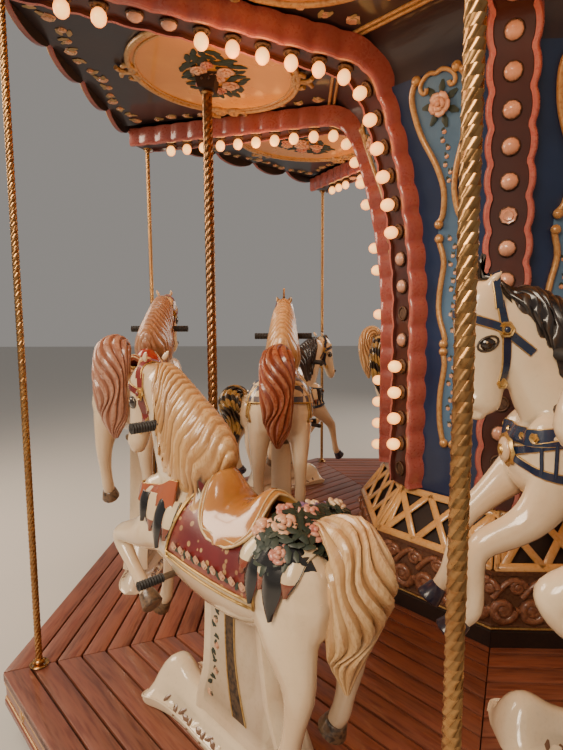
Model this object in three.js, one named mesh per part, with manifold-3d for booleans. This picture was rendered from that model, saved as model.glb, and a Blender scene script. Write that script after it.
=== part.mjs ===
// A fairground carousel: an octagonal platform that turns about a mast, with a lamp-lit drum in its
// middle, a painted ceiling on twisted poles, and horses that rise and fall on their pedestals.
// Millimetres, +Z up. The origin lies on the ground, on the turning axis.
import * as THREE from "three";
import { mergeVertices } from "three/addons/utils/BufferGeometryUtils.js";
import Module from "manifold-3d";

const wasm = await Module();
wasm.setup();

// Driving dimensions
const bays = 8;
const bayAngle = (2 * Math.PI) / bays;
const halfBay = bayAngle / 2;
const seat = 0.3; // gap between pieces that rest on each other
const deckTop = 250; // above the ground
const deckThickness = 45;
const deckCornerRadius = 2640;
const poleRadius = 2500; // from the axis to the outer poles
const ceilingHeight = 2780; // inner edge of the ceiling panels, above the deck
const ceilingRise = 110; // from there to the outer edge
const drumHeight = 2570; // top of the drum sides, above the deck
const ribWidth = 210;
const singleRank = 1950; // radius of a horse that has its bay to itself
const outerRank = 2100; // radii of the horses that ride in pairs
const innerRank = 1290;
const outerStroke = 320; // rise of an outer horse
const innerStroke = 270;

// Heights from the ground
const ceilingZ = deckTop + ceilingHeight;
const drumTopZ = deckTop + drumHeight;

// An octagon's flat sides lie nearer the axis than its corners
const flatOf = (cornerRadius) => cornerRadius * Math.cos(halfBay);

// Solids from geometry, and back
function toSolid(geometry) {
  const bare = geometry.clone();
  bare.deleteAttribute("normal");
  bare.deleteAttribute("uv");
  const merged = mergeVertices(bare, 1e-3);
  return new wasm.Manifold(
    new wasm.Mesh({
      numProp: 3,
      vertProperties: new Float32Array(merged.attributes.position.array),
      triVerts: new Uint32Array(merged.index.array),
    }),
  );
}

function toGeometry(solid) {
  const mesh = solid.getMesh();
  const geometry = new THREE.BufferGeometry();
  geometry.setAttribute("position", new THREE.BufferAttribute(mesh.vertProperties, 3));
  geometry.setIndex(new THREE.BufferAttribute(mesh.triVerts, 1));
  geometry.computeVertexNormals();
  return geometry;
}

const join = (solids) => solids.reduce((all, next) => all.add(next));

// A box between two corners
function block(low, high) {
  const [sx, sy, sz] = high.map((value, i) => value - low[i]);
  const geometry = new THREE.BoxGeometry(sx, sy, sz);
  geometry.translate(...high.map((value, i) => (value + low[i]) / 2));
  return toSolid(geometry);
}

// An upright prism or tapered prism with its foot at z
function post(bottomRadius, topRadius, z, height, faces, turn = 0) {
  const geometry = new THREE.CylinderGeometry(topRadius, bottomRadius, height, faces);
  geometry.rotateX(Math.PI / 2);
  geometry.rotateZ(turn);
  geometry.translate(0, 0, z + height / 2);
  return toSolid(geometry);
}

// A bore for an upright post, with flats that clear the post's corners at every angle
function bore(radius, z, height, faces) {
  const corner = (radius + seat) / Math.cos(Math.PI / faces);
  return post(corner, corner, z, height, faces, Math.PI / faces);
}

// A plate whose outline [x, z] is drawn from the side, from y = start to y = end
function sidePlate(outline, start, end) {
  const shape = new THREE.Shape(outline.map(([x, z]) => new THREE.Vector2(x, z)));
  const geometry = new THREE.ExtrudeGeometry(shape, { depth: end - start, bevelEnabled: false });
  geometry.rotateX(Math.PI / 2);
  geometry.translate(0, end, 0);
  return toSolid(geometry);
}

// A plate whose outline [x, y] is drawn from above, from z = bottom to z = top
function flatPlate(outline, bottom, top) {
  const shape = new THREE.Shape(outline.map(([x, y]) => new THREE.Vector2(x, y)));
  const geometry = new THREE.ExtrudeGeometry(shape, { depth: top - bottom, bevelEnabled: false });
  geometry.translate(0, 0, bottom);
  return toSolid(geometry);
}

// A rounded form swept through rings [forward, side, up, half depth, half width]
function limb(rings, corners) {
  const positions = [];
  const index = [];
  rings.forEach(([x, y, z, depth, width], i) => {
    const before = rings[Math.max(i - 1, 0)];
    const after = rings[Math.min(i + 1, rings.length - 1)];
    const length = Math.hypot(after[0] - before[0], after[2] - before[2]);
    const forward = (after[0] - before[0]) / length;
    const up = (after[2] - before[2]) / length;
    for (let k = 0; k < corners; k += 1) {
      const angle = ((k + 0.5) * 2 * Math.PI) / corners;
      const across = depth * Math.cos(angle);
      positions.push(x - up * across, y + width * Math.sin(angle), z + forward * across);
    }
  });
  for (let i = 0; i + 1 < rings.length; i += 1) {
    for (let k = 0; k < corners; k += 1) {
      const a = i * corners + k;
      const b = i * corners + ((k + 1) % corners);
      index.push(a, b, a + corners, b, b + corners, a + corners);
    }
  }
  const last = (rings.length - 1) * corners;
  for (let k = 1; k + 1 < corners; k += 1) {
    index.push(0, k + 1, k);
    index.push(last, last + k, last + k + 1);
  }
  const geometry = new THREE.BufferGeometry();
  geometry.setAttribute("position", new THREE.BufferAttribute(new Float32Array(positions), 3));
  geometry.setIndex(index);
  const solid = toSolid(geometry);
  if (solid.volume() > 0) return solid;
  geometry.setIndex(index.reverse());
  return toSolid(geometry);
}

// Plan outline of one bay, from one corner line to the next, less a margin along each line
function bayWedge(lowMargin, highMargin, reach = 3000) {
  const c = Math.cos(halfBay);
  const s = Math.sin(halfBay);
  const low = (t) => [t * c + lowMargin * s, -t * s + lowMargin * c];
  const high = (t) => [t * c + highMargin * s, t * s - highMargin * c];
  return [low(300), low(reach), high(reach), high(300)];
}

const finish = {
  steel: { color: 0x2c2b2a, roughness: 0.6, metalness: 0.7 },
  brass: { color: 0xb98a3a, roughness: 0.3, metalness: 1 },
  deck: { color: 0x6a2a1a, roughness: 0.55, metalness: 0 },
  drum: { color: 0x14264a, roughness: 0.45, metalness: 0 },
  ceiling: { color: 0xb8691f, roughness: 0.5, metalness: 0 },
  board: { color: 0x7a1512, roughness: 0.45, metalness: 0 },
  roof: { color: 0xe6d6b0, roughness: 0.7, metalness: 0 },
  horse: { color: 0xe9d9bb, roughness: 0.25, metalness: 0 },
};

const carousel = new THREE.Group();

function place(parent, name, geometry, look) {
  const mesh = new THREE.Mesh(geometry, new THREE.MeshStandardMaterial(look));
  mesh.name = name;
  parent.add(mesh);
  return mesh;
}

// A group turned to the middle of bay k, with +X outwards
function bayGroup(k) {
  const group = new THREE.Group();
  group.rotation.z = k * bayAngle;
  carousel.add(group);
  return group;
}

// A group turned to the corner line between bay k and the next
function cornerGroup(k) {
  const group = new THREE.Group();
  group.rotation.z = k * bayAngle + halfBay;
  carousel.add(group);
  return group;
}

const bayNumbers = Array.from({ length: bays }, (_, k) => k);

// Base frame: four beams that cross under the platform and lie on the ground
const beamHeight = 90;
const beamWidth = 110;
const beamReach = 2350;
const groundFrame = join(
  bayNumbers.slice(0, bays / 2).map((k) => {
    const beam = block([-beamReach, -beamWidth / 2, 0], [beamReach, beamWidth / 2, beamHeight]);
    return beam.rotate([0, 0, (k * 180 * bayAngle) / Math.PI]);
  }),
);
place(carousel, "ground_frame", toGeometry(groundFrame), finish.steel);

// Mast: a tube that stands on the frame, with a collar that carries the turntable
const mastRadius = 110;
const mastFaces = 24;
const collarRadius = 170;
const collarTop = 115;
const mastTop = deckTop + 3900;
const mast = join([
  post(mastRadius, mastRadius, beamHeight + seat, mastTop - beamHeight - seat, mastFaces),
  post(collarRadius, collarRadius, beamHeight + seat, collarTop - beamHeight - seat, mastFaces),
]);
place(carousel, "centre_mast", toGeometry(mast), finish.steel);

// Turntable frame: a hub round the mast with a sweep under each joint of the deck
const sweepTop = deckTop - deckThickness - seat;
const sweepBottom = collarTop + seat;
const sweepWidth = 80;
const sweepReach = 2560;
const hubRadius = 230;
const sweeps = bayNumbers.map((k) => {
  const sweep = block([hubRadius - 60, -sweepWidth / 2, sweepBottom], [sweepReach, sweepWidth / 2, sweepTop]);
  return sweep.rotate([0, 0, ((k * bayAngle + halfBay) * 180) / Math.PI]);
});
const hub = post(hubRadius, hubRadius, sweepBottom, sweepTop - sweepBottom, mastFaces).subtract(
  bore(mastRadius, sweepBottom - 10, sweepTop - sweepBottom + 20, mastFaces),
);
place(carousel, "turntable_frame", toGeometry(join([hub, ...sweeps])), finish.steel);

// Pedestal of a horse, drawn from the side as [forward, up] above the deck
const columnTop = 780;
const columnWidth = 120;
const pedestalWidth = 200;
const guideRadius = 28;
const guideFoot = 40;
const guideFaces = 8;
const column = [
  [190, -1],
  [200, 150],
  [168, 260],
  [155, 460],
  [140, columnTop],
  [-150, columnTop],
  [-185, 460],
  [-215, 290],
  [-290, 150],
  [-330, -1],
];
const pedestalFoot = [
  [300, -1],
  [400, 30],
  [490, 85],
  [440, 165],
  [360, 215],
  [270, 205],
  [180, 160],
  [-300, 120],
  [-380, 40],
  [-370, -1],
];

function pedestal() {
  const solid = join([
    sidePlate(column, -columnWidth / 2, columnWidth / 2),
    sidePlate(pedestalFoot, -pedestalWidth / 2, pedestalWidth / 2),
  ]);
  return solid.subtract(post(guideRadius + seat, guideRadius + seat, guideFoot, columnTop, guideFaces));
}

// Deck sector: the boards of one bay, its rim board and the pedestals that stand on it
const rimDepth = 110;
const rimThickness = 30;
const pairBay = (k) => k % 2 === 0; // bays with a horse in each rank

function onDeck(solid, radius) {
  return solid.rotate([0, 0, -90]).translate([radius, 0, deckTop]);
}

function deckSector(k) {
  const wedge = bayWedge(seat / 2, seat / 2);
  const slab = flatPlate(wedge, deckTop - deckThickness, deckTop);
  const edge = flatOf(deckCornerRadius);
  const cut = block([edge, -2000, 0], [3500, 2000, 400]);
  const rim = block([edge - rimThickness, -1400, deckTop - deckThickness - rimDepth], [edge, 1400, deckTop - 5]);
  const rimPart = rim.intersect(flatPlate(wedge, 0, deckTop));
  const ranks = pairBay(k) ? [outerRank, innerRank] : [singleRank];
  const stands = ranks.map((radius) => onDeck(pedestal(), radius));
  return join([slab.subtract(cut), rimPart, ...stands]);
}

// Drum side: plinth, leaning skirt, flared panel and the lamp pilaster at its far corner
const plinthCorner = 850;
const plinthHeight = 360;
const skirtTopCorner = 681;
const skirtTop = 590;
const wallCorner = 660;
const wallThickness = 30;
const pilasterFace = 705;
const flareStart = 1450;
const flareCurve = 6000; // twice the radius of the flare
const flare = (z) => Math.max(z - flareStart, 0) ** 2 / flareCurve;
const flareSteps = 6;

function flaredEdge(radius, from, to) {
  const points = [[radius + flare(from), deckTop + from]];
  for (let i = 0; i <= flareSteps; i += 1) {
    const z = flareStart + ((to - flareStart) * i) / flareSteps;
    points.push([radius + flare(z), deckTop + z]);
  }
  return points;
}

function drumSide() {
  const foot = deckTop + seat;
  const plinth = flatOf(plinthCorner);
  const skirt = flatOf(skirtTopCorner);
  const wall = flatOf(wallCorner);
  const base = sidePlate(
    [
      [plinth - wallThickness, foot],
      [plinth, foot],
      [plinth, deckTop + plinthHeight],
      [skirt, deckTop + skirtTop],
      [wall - wallThickness, deckTop + skirtTop],
      [wall - wallThickness, deckTop + skirtTop - wallThickness],
      [plinth - wallThickness, deckTop + plinthHeight - wallThickness],
    ],
    -500,
    500,
  ).intersect(flatPlate(bayWedge(seat / 2, seat / 2), 0, drumTopZ));
  const face = flaredEdge(wall, skirtTop - 10, drumHeight);
  const back = face.map(([x, z]) => [x - wallThickness, z]).reverse();
  const panel = sidePlate([...face, ...back], -600, 600).intersect(
    flatPlate(bayWedge(ribWidth / 2 + seat, 0), 0, drumTopZ),
  );
  const pilasterEdge = flaredEdge(pilasterFace, skirtTop, drumHeight);
  const pilasterBack = flaredEdge(wallCorner - 75, skirtTop, drumHeight).reverse();
  const pilaster = sidePlate([...pilasterEdge, ...pilasterBack], -ribWidth / 2, ribWidth / 2);
  return join([base, panel, pilaster.rotate([0, 0, (halfBay * 180) / Math.PI])]);
}

// Ceiling bay: a cove on the drum, a rising panel and the rib at its far corner
const panelThickness = 25;
const ribBottom = 2662; // inner end of the rib's underside, above the deck
const ribRise = 83;
const ribReach = 2580;
const boardCorner = 2700;
const boardThickness = 30;

function ceilingBay() {
  const inner = flatOf(wallCorner + flare(drumHeight));
  const outer = flatOf(boardCorner) - boardThickness - seat;
  const underside = [
    [inner, drumTopZ + seat],
    [inner + 70, deckTop + 2700],
    [inner + 150, ceilingZ],
    [outer, ceilingZ + ceilingRise],
  ];
  const upper = [
    [outer, ceilingZ + ceilingRise + panelThickness],
    [inner + 140, ceilingZ + panelThickness],
    [inner - wallThickness, deckTop + 2710],
    [inner - wallThickness, drumTopZ + seat],
  ];
  const panel = sidePlate([...underside, ...upper], -1500, 1500).intersect(
    flatPlate(bayWedge(ribWidth / 2 + seat, 0), 0, 4000),
  );
  const start = pilasterFace + flare(drumHeight);
  const rib = sidePlate(
    [
      [start - 120, drumTopZ + seat],
      [start, drumTopZ + seat],
      [start + 45, deckTop + 2632],
      [start + 120, deckTop + ribBottom],
      [ribReach, deckTop + ribBottom + ribRise],
      [ribReach, ceilingZ + ceilingRise + panelThickness],
      [start + 60, ceilingZ + panelThickness],
      [start - 120, ceilingZ],
    ],
    -ribWidth / 2,
    ribWidth / 2,
  );
  return join([panel, rib.rotate([0, 0, (halfBay * 180) / Math.PI])]);
}

// Poles: slim ones at the corners, stout ones with a bracket between the paired horses
const slimPole = 15;
const stoutPole = 29;
const handPoleRadius = (outerRank + innerRank) / 2;
const ribUnderside = (radius) => {
  const start = pilasterFace + flare(drumHeight) + 120;
  return deckTop + ribBottom + (ribRise * (radius - start)) / (ribReach - start);
};

function outerPole() {
  const foot = deckTop + seat;
  const top = ribUnderside(poleRadius - 40) - seat;
  return join([
    post(slimPole, slimPole, foot, top - foot, 6),
    post(42, 42, foot, 12, 6),
    post(36, 36, top - 14, 14, 6),
  ]);
}

function handPole() {
  const foot = deckTop + seat;
  const panelInner = flatOf(wallCorner + flare(drumHeight)) + 150;
  const panelOuter = flatOf(boardCorner) - boardThickness - seat;
  const slope = ceilingRise / (panelOuter - panelInner);
  const underside = (x) => ceilingZ + slope * (handPoleRadius + x - panelInner) - seat;
  const bracket = sidePlate(
    [
      [-70, underside(-70)],
      [-45, underside(-45) - 95],
      [45, underside(45) - 95],
      [70, underside(70)],
    ].reverse(),
    -60,
    60,
  );
  const top = underside(-45) - 60;
  return join([post(stoutPole, stoutPole, foot, top - foot, 8), post(60, 52, foot, 18, 8), bracket]);
}

// Rounding boards: a ring of scalloped boards round the ceiling's edge
const boardBottom = 2830; // tips of the scallops, above the deck
const boardTop = 3330;
const scallops = 5;
const scallopDepth = 70;

function roundingBoards() {
  const side = 2 * boardCorner * Math.sin(halfBay);
  const width = side / scallops;
  const outline = [
    [side / 2, deckTop + boardTop],
    [-side / 2, deckTop + boardTop],
  ];
  for (let i = 0; i < scallops; i += 1) {
    const start = -side / 2 + i * width;
    outline.push([start, deckTop + boardBottom + scallopDepth]);
    outline.push([start + 0.25 * width, deckTop + boardBottom]);
    outline.push([start + 0.75 * width, deckTop + boardBottom]);
  }
  outline.push([side / 2, deckTop + boardBottom + scallopDepth]);
  const outer = flatOf(boardCorner);
  const mitre = -0.5; // the boards run into each other at the corners
  const board = sidePlate(outline, -outer, boardThickness - outer).intersect(
    flatPlate(
      bayWedge(mitre, mitre).map(([x, y]) => [y, -x]),
      0,
      5000,
    ),
  );
  return join(bayNumbers.map((k) => board.rotate([0, 0, (k * bayAngle * 180) / Math.PI])));
}

// Roof: an octagonal shell on the boards, with a boss that takes the top of the mast and a finial
const roofCorner = 2780;
const eaveHeight = 60;
const roofTop = 4350;
const roofShell = 40; // measured straight down
const capRadius = 260;

function roof() {
  const eave = deckTop + boardTop + seat;
  const slopeFoot = eave + eaveHeight;
  const slopeHeight = deckTop + roofTop - slopeFoot;
  const turn = Math.PI / 2 + halfBay;
  const outer = join([
    post(roofCorner, roofCorner, eave, eaveHeight, bays, turn),
    post(roofCorner, capRadius, slopeFoot, slopeHeight, bays, turn),
  ]);
  const hollowCorner = boardCorner - 2 * boardThickness;
  const slope = slopeHeight / (roofCorner - capRadius);
  const hollowFoot = slopeFoot + slope * (roofCorner - hollowCorner) - roofShell;
  const hollowRise = slope * (hollowCorner - capRadius);
  const inner = join([
    post(hollowCorner, hollowCorner, eave - 1, hollowFoot - eave + 1, bays, turn),
    post(hollowCorner, capRadius, hollowFoot, hollowRise, bays, turn),
  ]);
  const bossRadius = mastRadius + 60;
  const bossFoot = mastTop - 250;
  const roofPeak = deckTop + roofTop;
  const boss = post(bossRadius, bossRadius, bossFoot, roofPeak - roofShell / 2 - bossFoot, mastFaces);
  const socket = bore(mastRadius, bossFoot - 1, mastTop + seat - bossFoot + 1, mastFaces);
  const finial = [
    post(90, 60, roofPeak - 5, 125, 8),
    toSolid(new THREE.SphereGeometry(85, 8, 6).rotateX(Math.PI / 2).translate(0, 0, roofPeak + 190)),
    post(30, 5, roofPeak + 255, 160, 8),
  ];
  return join([outer.subtract(inner), boss, ...finial]).subtract(socket);
}

// Horse, drawn forwards along +X above the deck, at the bottom of its stroke.
// One foreleg is bent and the other reaches out: bentSide is 1 for a bent left leg, -1 for a right one.
const cavity = { back: -200, front: 170, half: 72, top: 800 };

function horse(bentSide) {
  const barrel = limb(
    [
      [500, 0, 775, 60, 55],
      [440, 0, 760, 135, 115],
      [290, 0, 740, 200, 152],
      [-170, 0, 690, 208, 172],
      [-320, 0, 735, 170, 162],
      [-440, 0, 765, 60, 65],
    ],
    8,
  );
  const saddle = sidePlate(
    [
      [130, 830],
      [75, 1005],
      [-50, 905],
      [-175, 985],
      [-200, 830],
    ],
    -125,
    125,
  );
  const neck = limb(
    [
      [190, 0, 840, 195, 118],
      [300, 0, 1000, 228, 100],
      [395, 0, 1145, 150, 76],
      [530, 0, 1235, 85, 55],
    ],
    6,
  );
  const head = limb(
    [
      [545, 0, 1345, 40, 42],
      [582, 0, 1215, 88, 68],
      [660, 0, 1035, 62, 48],
      [700, 0, 950, 42, 40],
    ],
    6,
  );
  const ears = [-1, 1].map((side) => limb([[545, side * 38, 1310, 26, 18], [530, side * 46, 1395, 5, 5]], 3));
  const hindLeg = (side, shift) =>
    limb(
      [
        [-300, side * 88, 740, 120, 70],
        [-290, side * 104, 560, 80, 52],
        [-380 + shift, side * 108, 470, 46, 36],
        [-332 + shift, side * 110, 290, 28, 27],
        [-300 + shift, side * 110, 212, 48, 38],
      ],
      5,
    );
  const foreleg = (side, rings) => limb(rings.map(([x, ...rest]) => [x, side * 95, ...rest]), 5);
  const bentLeg = foreleg(bentSide, [
    [330, 720, 90, 55],
    [500, 655, 58, 48],
    [690, 600, 44, 40],
    [520, 455, 29, 28],
    [425, 385, 42, 38],
  ]);
  const reachingLeg = foreleg(-bentSide, [
    [330, 720, 90, 55],
    [470, 620, 58, 48],
    [592, 510, 43, 38],
    [645, 300, 29, 28],
    [700, 215, 44, 38],
  ]);
  const tail = limb(
    [
      [-360, 0, 800, 40, 40],
      [-470, 0, 905, 52, 52],
      [-565, 0, 860, 68, 62],
      [-585, 0, 740, 72, 66],
      [-500, 0, 570, 46, 42],
      [-450, 0, 480, 12, 12],
    ],
    5,
  );
  const bar = (x, z, radius, half) => {
    const geometry = new THREE.CylinderGeometry(radius, radius, 2 * half, 5);
    geometry.translate(x, 0, z);
    return toSolid(geometry);
  };
  const body = join([barrel, saddle, neck, head, ...ears, hindLeg(1, 0), hindLeg(-1, 25)]);
  const whole = join([body, bentLeg, reachingLeg, tail, bar(375, 1100, 14, 185), bar(307, 560, 13, 212)]);
  const hollow = block([cavity.back, -cavity.half, 0], [cavity.front, cavity.half, cavity.top]);
  const guideBottom = guideFoot + 15;
  const guide = post(guideRadius, guideRadius, guideBottom, cavity.top + 10 - guideBottom, guideFaces);
  return whole.subtract(hollow).add(guide);
}

// Placing: one shape for each kind, repeated round the axis
const drumShape = toGeometry(drumSide());
const ceilingShape = toGeometry(ceilingBay());
const outerPoleShape = toGeometry(outerPole());
const handPoleShape = toGeometry(handPole());
const singleHorse = toGeometry(horse(1));
const pairedHorse = toGeometry(horse(-1));
const pairDeck = toGeometry(deckSector(0));
const singleDeck = toGeometry(deckSector(1));

function placeHorse(bay, name, shape, radius, lift) {
  const mesh = place(bay, name, shape, finish.horse);
  mesh.position.set(radius, 0, deckTop + lift);
  mesh.rotation.z = -Math.PI / 2;
}

for (const k of bayNumbers) {
  const bay = bayGroup(k);
  const number = k + 1;
  place(bay, `deck_sector_${number}`, pairBay(k) ? pairDeck : singleDeck, finish.deck);
  place(bay, `drum_side_${number}`, drumShape, finish.drum);
  place(bay, `ceiling_bay_${number}`, ceilingShape, finish.ceiling);
  if (pairBay(k)) {
    placeHorse(bay, `horse_outer_${number}`, pairedHorse, outerRank, outerStroke);
    placeHorse(bay, `horse_inner_${number}`, pairedHorse, innerRank, innerStroke);
    place(bay, `hand_pole_${number}`, handPoleShape, finish.brass).position.x = handPoleRadius;
  } else {
    placeHorse(bay, `horse_outer_${number}`, singleHorse, singleRank, 0);
  }
  place(cornerGroup(k), `outer_pole_${number}`, outerPoleShape, finish.brass).position.x = poleRadius;
}

place(carousel, "rounding_boards", toGeometry(roundingBoards()), finish.board);
place(carousel, "roof", toGeometry(roof()), finish.roof);

export default carousel;
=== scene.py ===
"""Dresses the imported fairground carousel: horses, lamp-lit drum, painted ceiling, deck, poles and roof.

Everything is in metres in the frame of the CAD part. Bays are built once, about the +X axis, and copied
round the ride. A horse is built once in its own frame (forwards +X, left +Y, up from the deck) and placed.
"""

from __future__ import annotations

import logging
import random
from collections.abc import Callable, Sequence
from dataclasses import dataclass, field, replace
from enum import Enum
from math import atan2, cos, exp, pi, radians, sin, sqrt, tan, tau

import bpy
from mathutils import Matrix, Vector


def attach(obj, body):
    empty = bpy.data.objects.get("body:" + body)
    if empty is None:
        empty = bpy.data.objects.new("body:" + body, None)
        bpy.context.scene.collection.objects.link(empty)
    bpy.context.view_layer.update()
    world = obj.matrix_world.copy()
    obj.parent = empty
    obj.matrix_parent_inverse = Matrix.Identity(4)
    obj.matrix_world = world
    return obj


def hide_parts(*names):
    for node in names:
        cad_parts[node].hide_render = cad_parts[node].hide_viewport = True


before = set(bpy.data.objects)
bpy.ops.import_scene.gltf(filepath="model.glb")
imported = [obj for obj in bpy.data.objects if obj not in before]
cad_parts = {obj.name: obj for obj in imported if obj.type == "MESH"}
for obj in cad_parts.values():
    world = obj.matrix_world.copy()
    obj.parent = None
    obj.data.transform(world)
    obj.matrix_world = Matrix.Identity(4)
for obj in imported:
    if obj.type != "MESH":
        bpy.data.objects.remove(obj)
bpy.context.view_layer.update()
LOG = logging.getLogger("carousel")

Colour = tuple[float, float, float]
Point = tuple[float, float, float]
Ring = tuple[float, float, float, float, float]
Row = tuple[float, float, float]
Pair = tuple[float, float]
Piece = bpy.types.Object

BAYS = 8
BAY_ANGLE = tau / BAYS
HALF_BAY = BAY_ANGLE / 2
DECK = 0.25  # top of the deck above the ground
LAMP_PITCH = 0.1383
SINGLE_RANK = 1.95
OUTER_RANK = 2.10
INNER_RANK = 1.29
OUTER_LIFT = 0.32
INNER_LIFT = 0.27
POLE_RANK = 2.50
MERGE_GAP = 1e-4  # points closer than this become one
GOLDEN_TURN = 2.39996  # spreads leaves evenly over an oval


def is_pair(bay: int) -> bool:
    """Tell whether a bay, counted from 0, carries two horses side by side."""
    return bay % 2 == 0


def flat_of(corner: float) -> float:
    """Return the distance of an octagon's side, given that of its corner."""
    return corner * cos(HALF_BAY)


def flare(height: float) -> float:
    """Return how far the drum's face leans out at a height above the deck."""
    return max(height - 1.45, 0.0) ** 2 / 6.0


# Modelling


def fresh() -> None:
    """Leave edit mode and deselect everything."""
    if bpy.context.mode != "OBJECT":
        bpy.ops.object.mode_set(mode="OBJECT")
    bpy.ops.object.select_all(action="DESELECT")


def pick(obj: Piece) -> None:
    """Make one object the only selected and active one."""
    fresh()
    obj.select_set(True)
    bpy.context.view_layer.objects.active = obj


def settle(obj: Piece, name: str) -> Piece:
    """Name an object and move its place, turn and size into its mesh."""
    obj.data.transform(obj.matrix_basis)
    obj.matrix_basis = Matrix.Identity(4)
    obj.name = obj.data.name = name
    return obj


def modify(obj: Piece, kind: str, **settings: object) -> Piece:
    """Add a modifier with its settings and apply it."""
    pick(obj)
    modifier = obj.modifiers.new(kind.lower(), kind)
    for key, value in settings.items():
        setattr(modifier, key, value)
    bpy.ops.object.modifier_apply(modifier=modifier.name)
    return obj


def edit(obj: Piece) -> None:
    """Open a mesh for editing, with all of it selected."""
    pick(obj)
    bpy.ops.object.mode_set(mode="EDIT")
    bpy.ops.mesh.select_all(action="SELECT")


def face_outwards() -> None:
    """Turn the faces of the mesh being edited outwards, and leave edit mode."""
    bpy.ops.mesh.select_all(action="SELECT")
    bpy.ops.mesh.normals_make_consistent(inside=False)
    bpy.ops.object.mode_set(mode="OBJECT")


def tidy(obj: Piece) -> Piece:
    """Merge the doubles of a mesh and turn its faces outwards."""
    edit(obj)
    bpy.ops.mesh.remove_doubles(threshold=MERGE_GAP)
    face_outwards()
    return obj


def join(name: str, parts: Sequence[Piece]) -> Piece:
    """Join several objects into one, under a new name."""
    fresh()
    for part in parts:
        part.select_set(True)
    bpy.context.view_layer.objects.active = parts[0]
    if len(parts) > 1:
        bpy.ops.object.join()
    parts[0].name = parts[0].data.name = name
    return parts[0]


def smooth(obj: Piece, angle: float = 40.0) -> Piece:
    """Shade a mesh smooth apart from edges sharper than the angle."""
    pick(obj)
    bpy.ops.object.shade_smooth_by_angle(angle=radians(angle))
    return obj


def limb(rings: Sequence[Ring], sides: int = 8, levels: int = 0, flute: float = 0.0) -> Piece:
    """Draw a limb out from ring to ring, as a closed form in or near the XZ plane.

    Args:
        rings: x, y, z and the half depth and half width of each ring.
        sides: corners of a ring.
        levels: subdivision levels that round the form off.
        flute: how far every other corner is drawn in, as a share of the radius.

    Returns:
        The new object.
    """
    fresh()
    leans = []
    for i in range(len(rings)):
        before, after = rings[max(i - 1, 0)], rings[min(i + 1, len(rings) - 1)]
        leans.append(atan2(after[0] - before[0], after[2] - before[2]))
    bpy.ops.mesh.primitive_circle_add(vertices=sides, radius=1, fill_type="NGON")
    obj = bpy.context.object
    obj.data.transform(obj.matrix_basis)
    obj.matrix_basis = Matrix.Identity(4)
    for vertex in list(obj.data.vertices)[1::2]:
        vertex.co *= 1 - flute
    bpy.ops.object.mode_set(mode="EDIT")
    x, y, z, depth, width = 0.0, 0.0, 0.0, 1.0, 1.0
    lean = 0.0
    for i, ring in enumerate(rings):
        step = (ring[0] - x, ring[1] - y, ring[2] - z)
        if i:
            bpy.ops.mesh.extrude_region_move(TRANSFORM_OT_translate={"value": step})
        else:
            bpy.ops.transform.translate(value=step)
        centre = ring[:3]
        bpy.ops.transform.rotate(value=lean, orient_axis="Y", center_override=centre)
        scale = (ring[3] / depth, ring[4] / width, 1)
        bpy.ops.transform.resize(value=scale, center_override=centre)
        lean = leans[i]
        bpy.ops.transform.rotate(value=-lean, orient_axis="Y", center_override=centre)
        x, y, z, depth, width = ring
    face_outwards()
    if levels:
        modify(obj, "SUBSURF", levels=levels, render_levels=levels)
    return obj


def sheet_of(columns: int, rows: int, place: Callable[[float, float], Sequence[float]]) -> Piece:
    """Lay a grid of faces whose points a function places by their two shares, each from -1 to 1."""
    fresh()
    bpy.ops.mesh.primitive_grid_add(x_subdivisions=columns, y_subdivisions=rows, size=2)
    sheet = bpy.context.object
    for vertex in sheet.data.vertices:
        vertex.co = place(vertex.co.x, vertex.co.y)
    return sheet


MOULDS: dict[str, bpy.types.Mesh] = {}


def from_mould(key: str, build: Callable[[], Piece]) -> Piece:
    """Return a fresh copy of a small shape, which is modelled the first time it is asked for."""
    if key not in MOULDS:
        first = build()
        MOULDS[key] = first.data
        bpy.data.objects.remove(first)
    copy = bpy.data.objects.new(key, MOULDS[key].copy())
    bpy.context.scene.collection.objects.link(copy)
    return copy


def blob(centre: Point, radii: Point, pitch: float = 0.0) -> Piece:
    """Model a rounded mass of given half sizes, pitched about the Y axis."""

    def build() -> Piece:
        """Add the ball that every mass starts from."""
        fresh()
        bpy.ops.mesh.primitive_uv_sphere_add(segments=10, ring_count=6)
        return smooth(bpy.context.object, 180)

    mass = from_mould("ball", build)
    mass.data.transform(
        Matrix.Translation(centre) @ Matrix.Rotation(pitch, 4, "Y") @ Matrix.Diagonal((*radii, 1))
    )
    return mass


def rod(start: Point, end: Point, radius: float, sides: int, ribs: int = 0) -> Piece:
    """Model a round bar between two points.

    Args:
        start: one end.
        end: the other end.
        radius: half its thickness.
        sides: corners round it.
        ribs: raised rings along it, for a grip.

    Returns:
        The bar, its ends bevelled.
    """
    fresh()
    line = Vector(end) - Vector(start)
    bpy.ops.mesh.primitive_cylinder_add(
        vertices=sides, radius=radius, depth=line.length, end_fill_type="NGON"
    )
    obj = bpy.context.object
    if ribs:
        bpy.ops.object.mode_set(mode="EDIT")
        bpy.ops.mesh.select_all(action="SELECT")
        step = line.length / (2 * ribs)
        for i in range(1, 2 * ribs):
            height = -line.length / 2 + step * i
            bpy.ops.mesh.select_all(action="SELECT")
            bpy.ops.mesh.bisect(plane_co=(0, 0, height), plane_no=(0, 0, 1))
        bpy.ops.object.mode_set(mode="OBJECT")
        for vertex in obj.data.vertices:
            band = round((vertex.co.z + line.length / 2) / step)
            if band % 2 and 0 < band < 2 * ribs:
                vertex.co.x *= 0.84
                vertex.co.y *= 0.84
    else:
        modify(obj, "BEVEL", width=radius * 0.25, segments=1, limit_method="ANGLE")
    obj.rotation_euler = line.to_track_quat("Z", "Y").to_euler()
    obj.location = (Vector(start) + Vector(end)) / 2
    return smooth(settle(obj, "rod"), 40)


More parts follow.
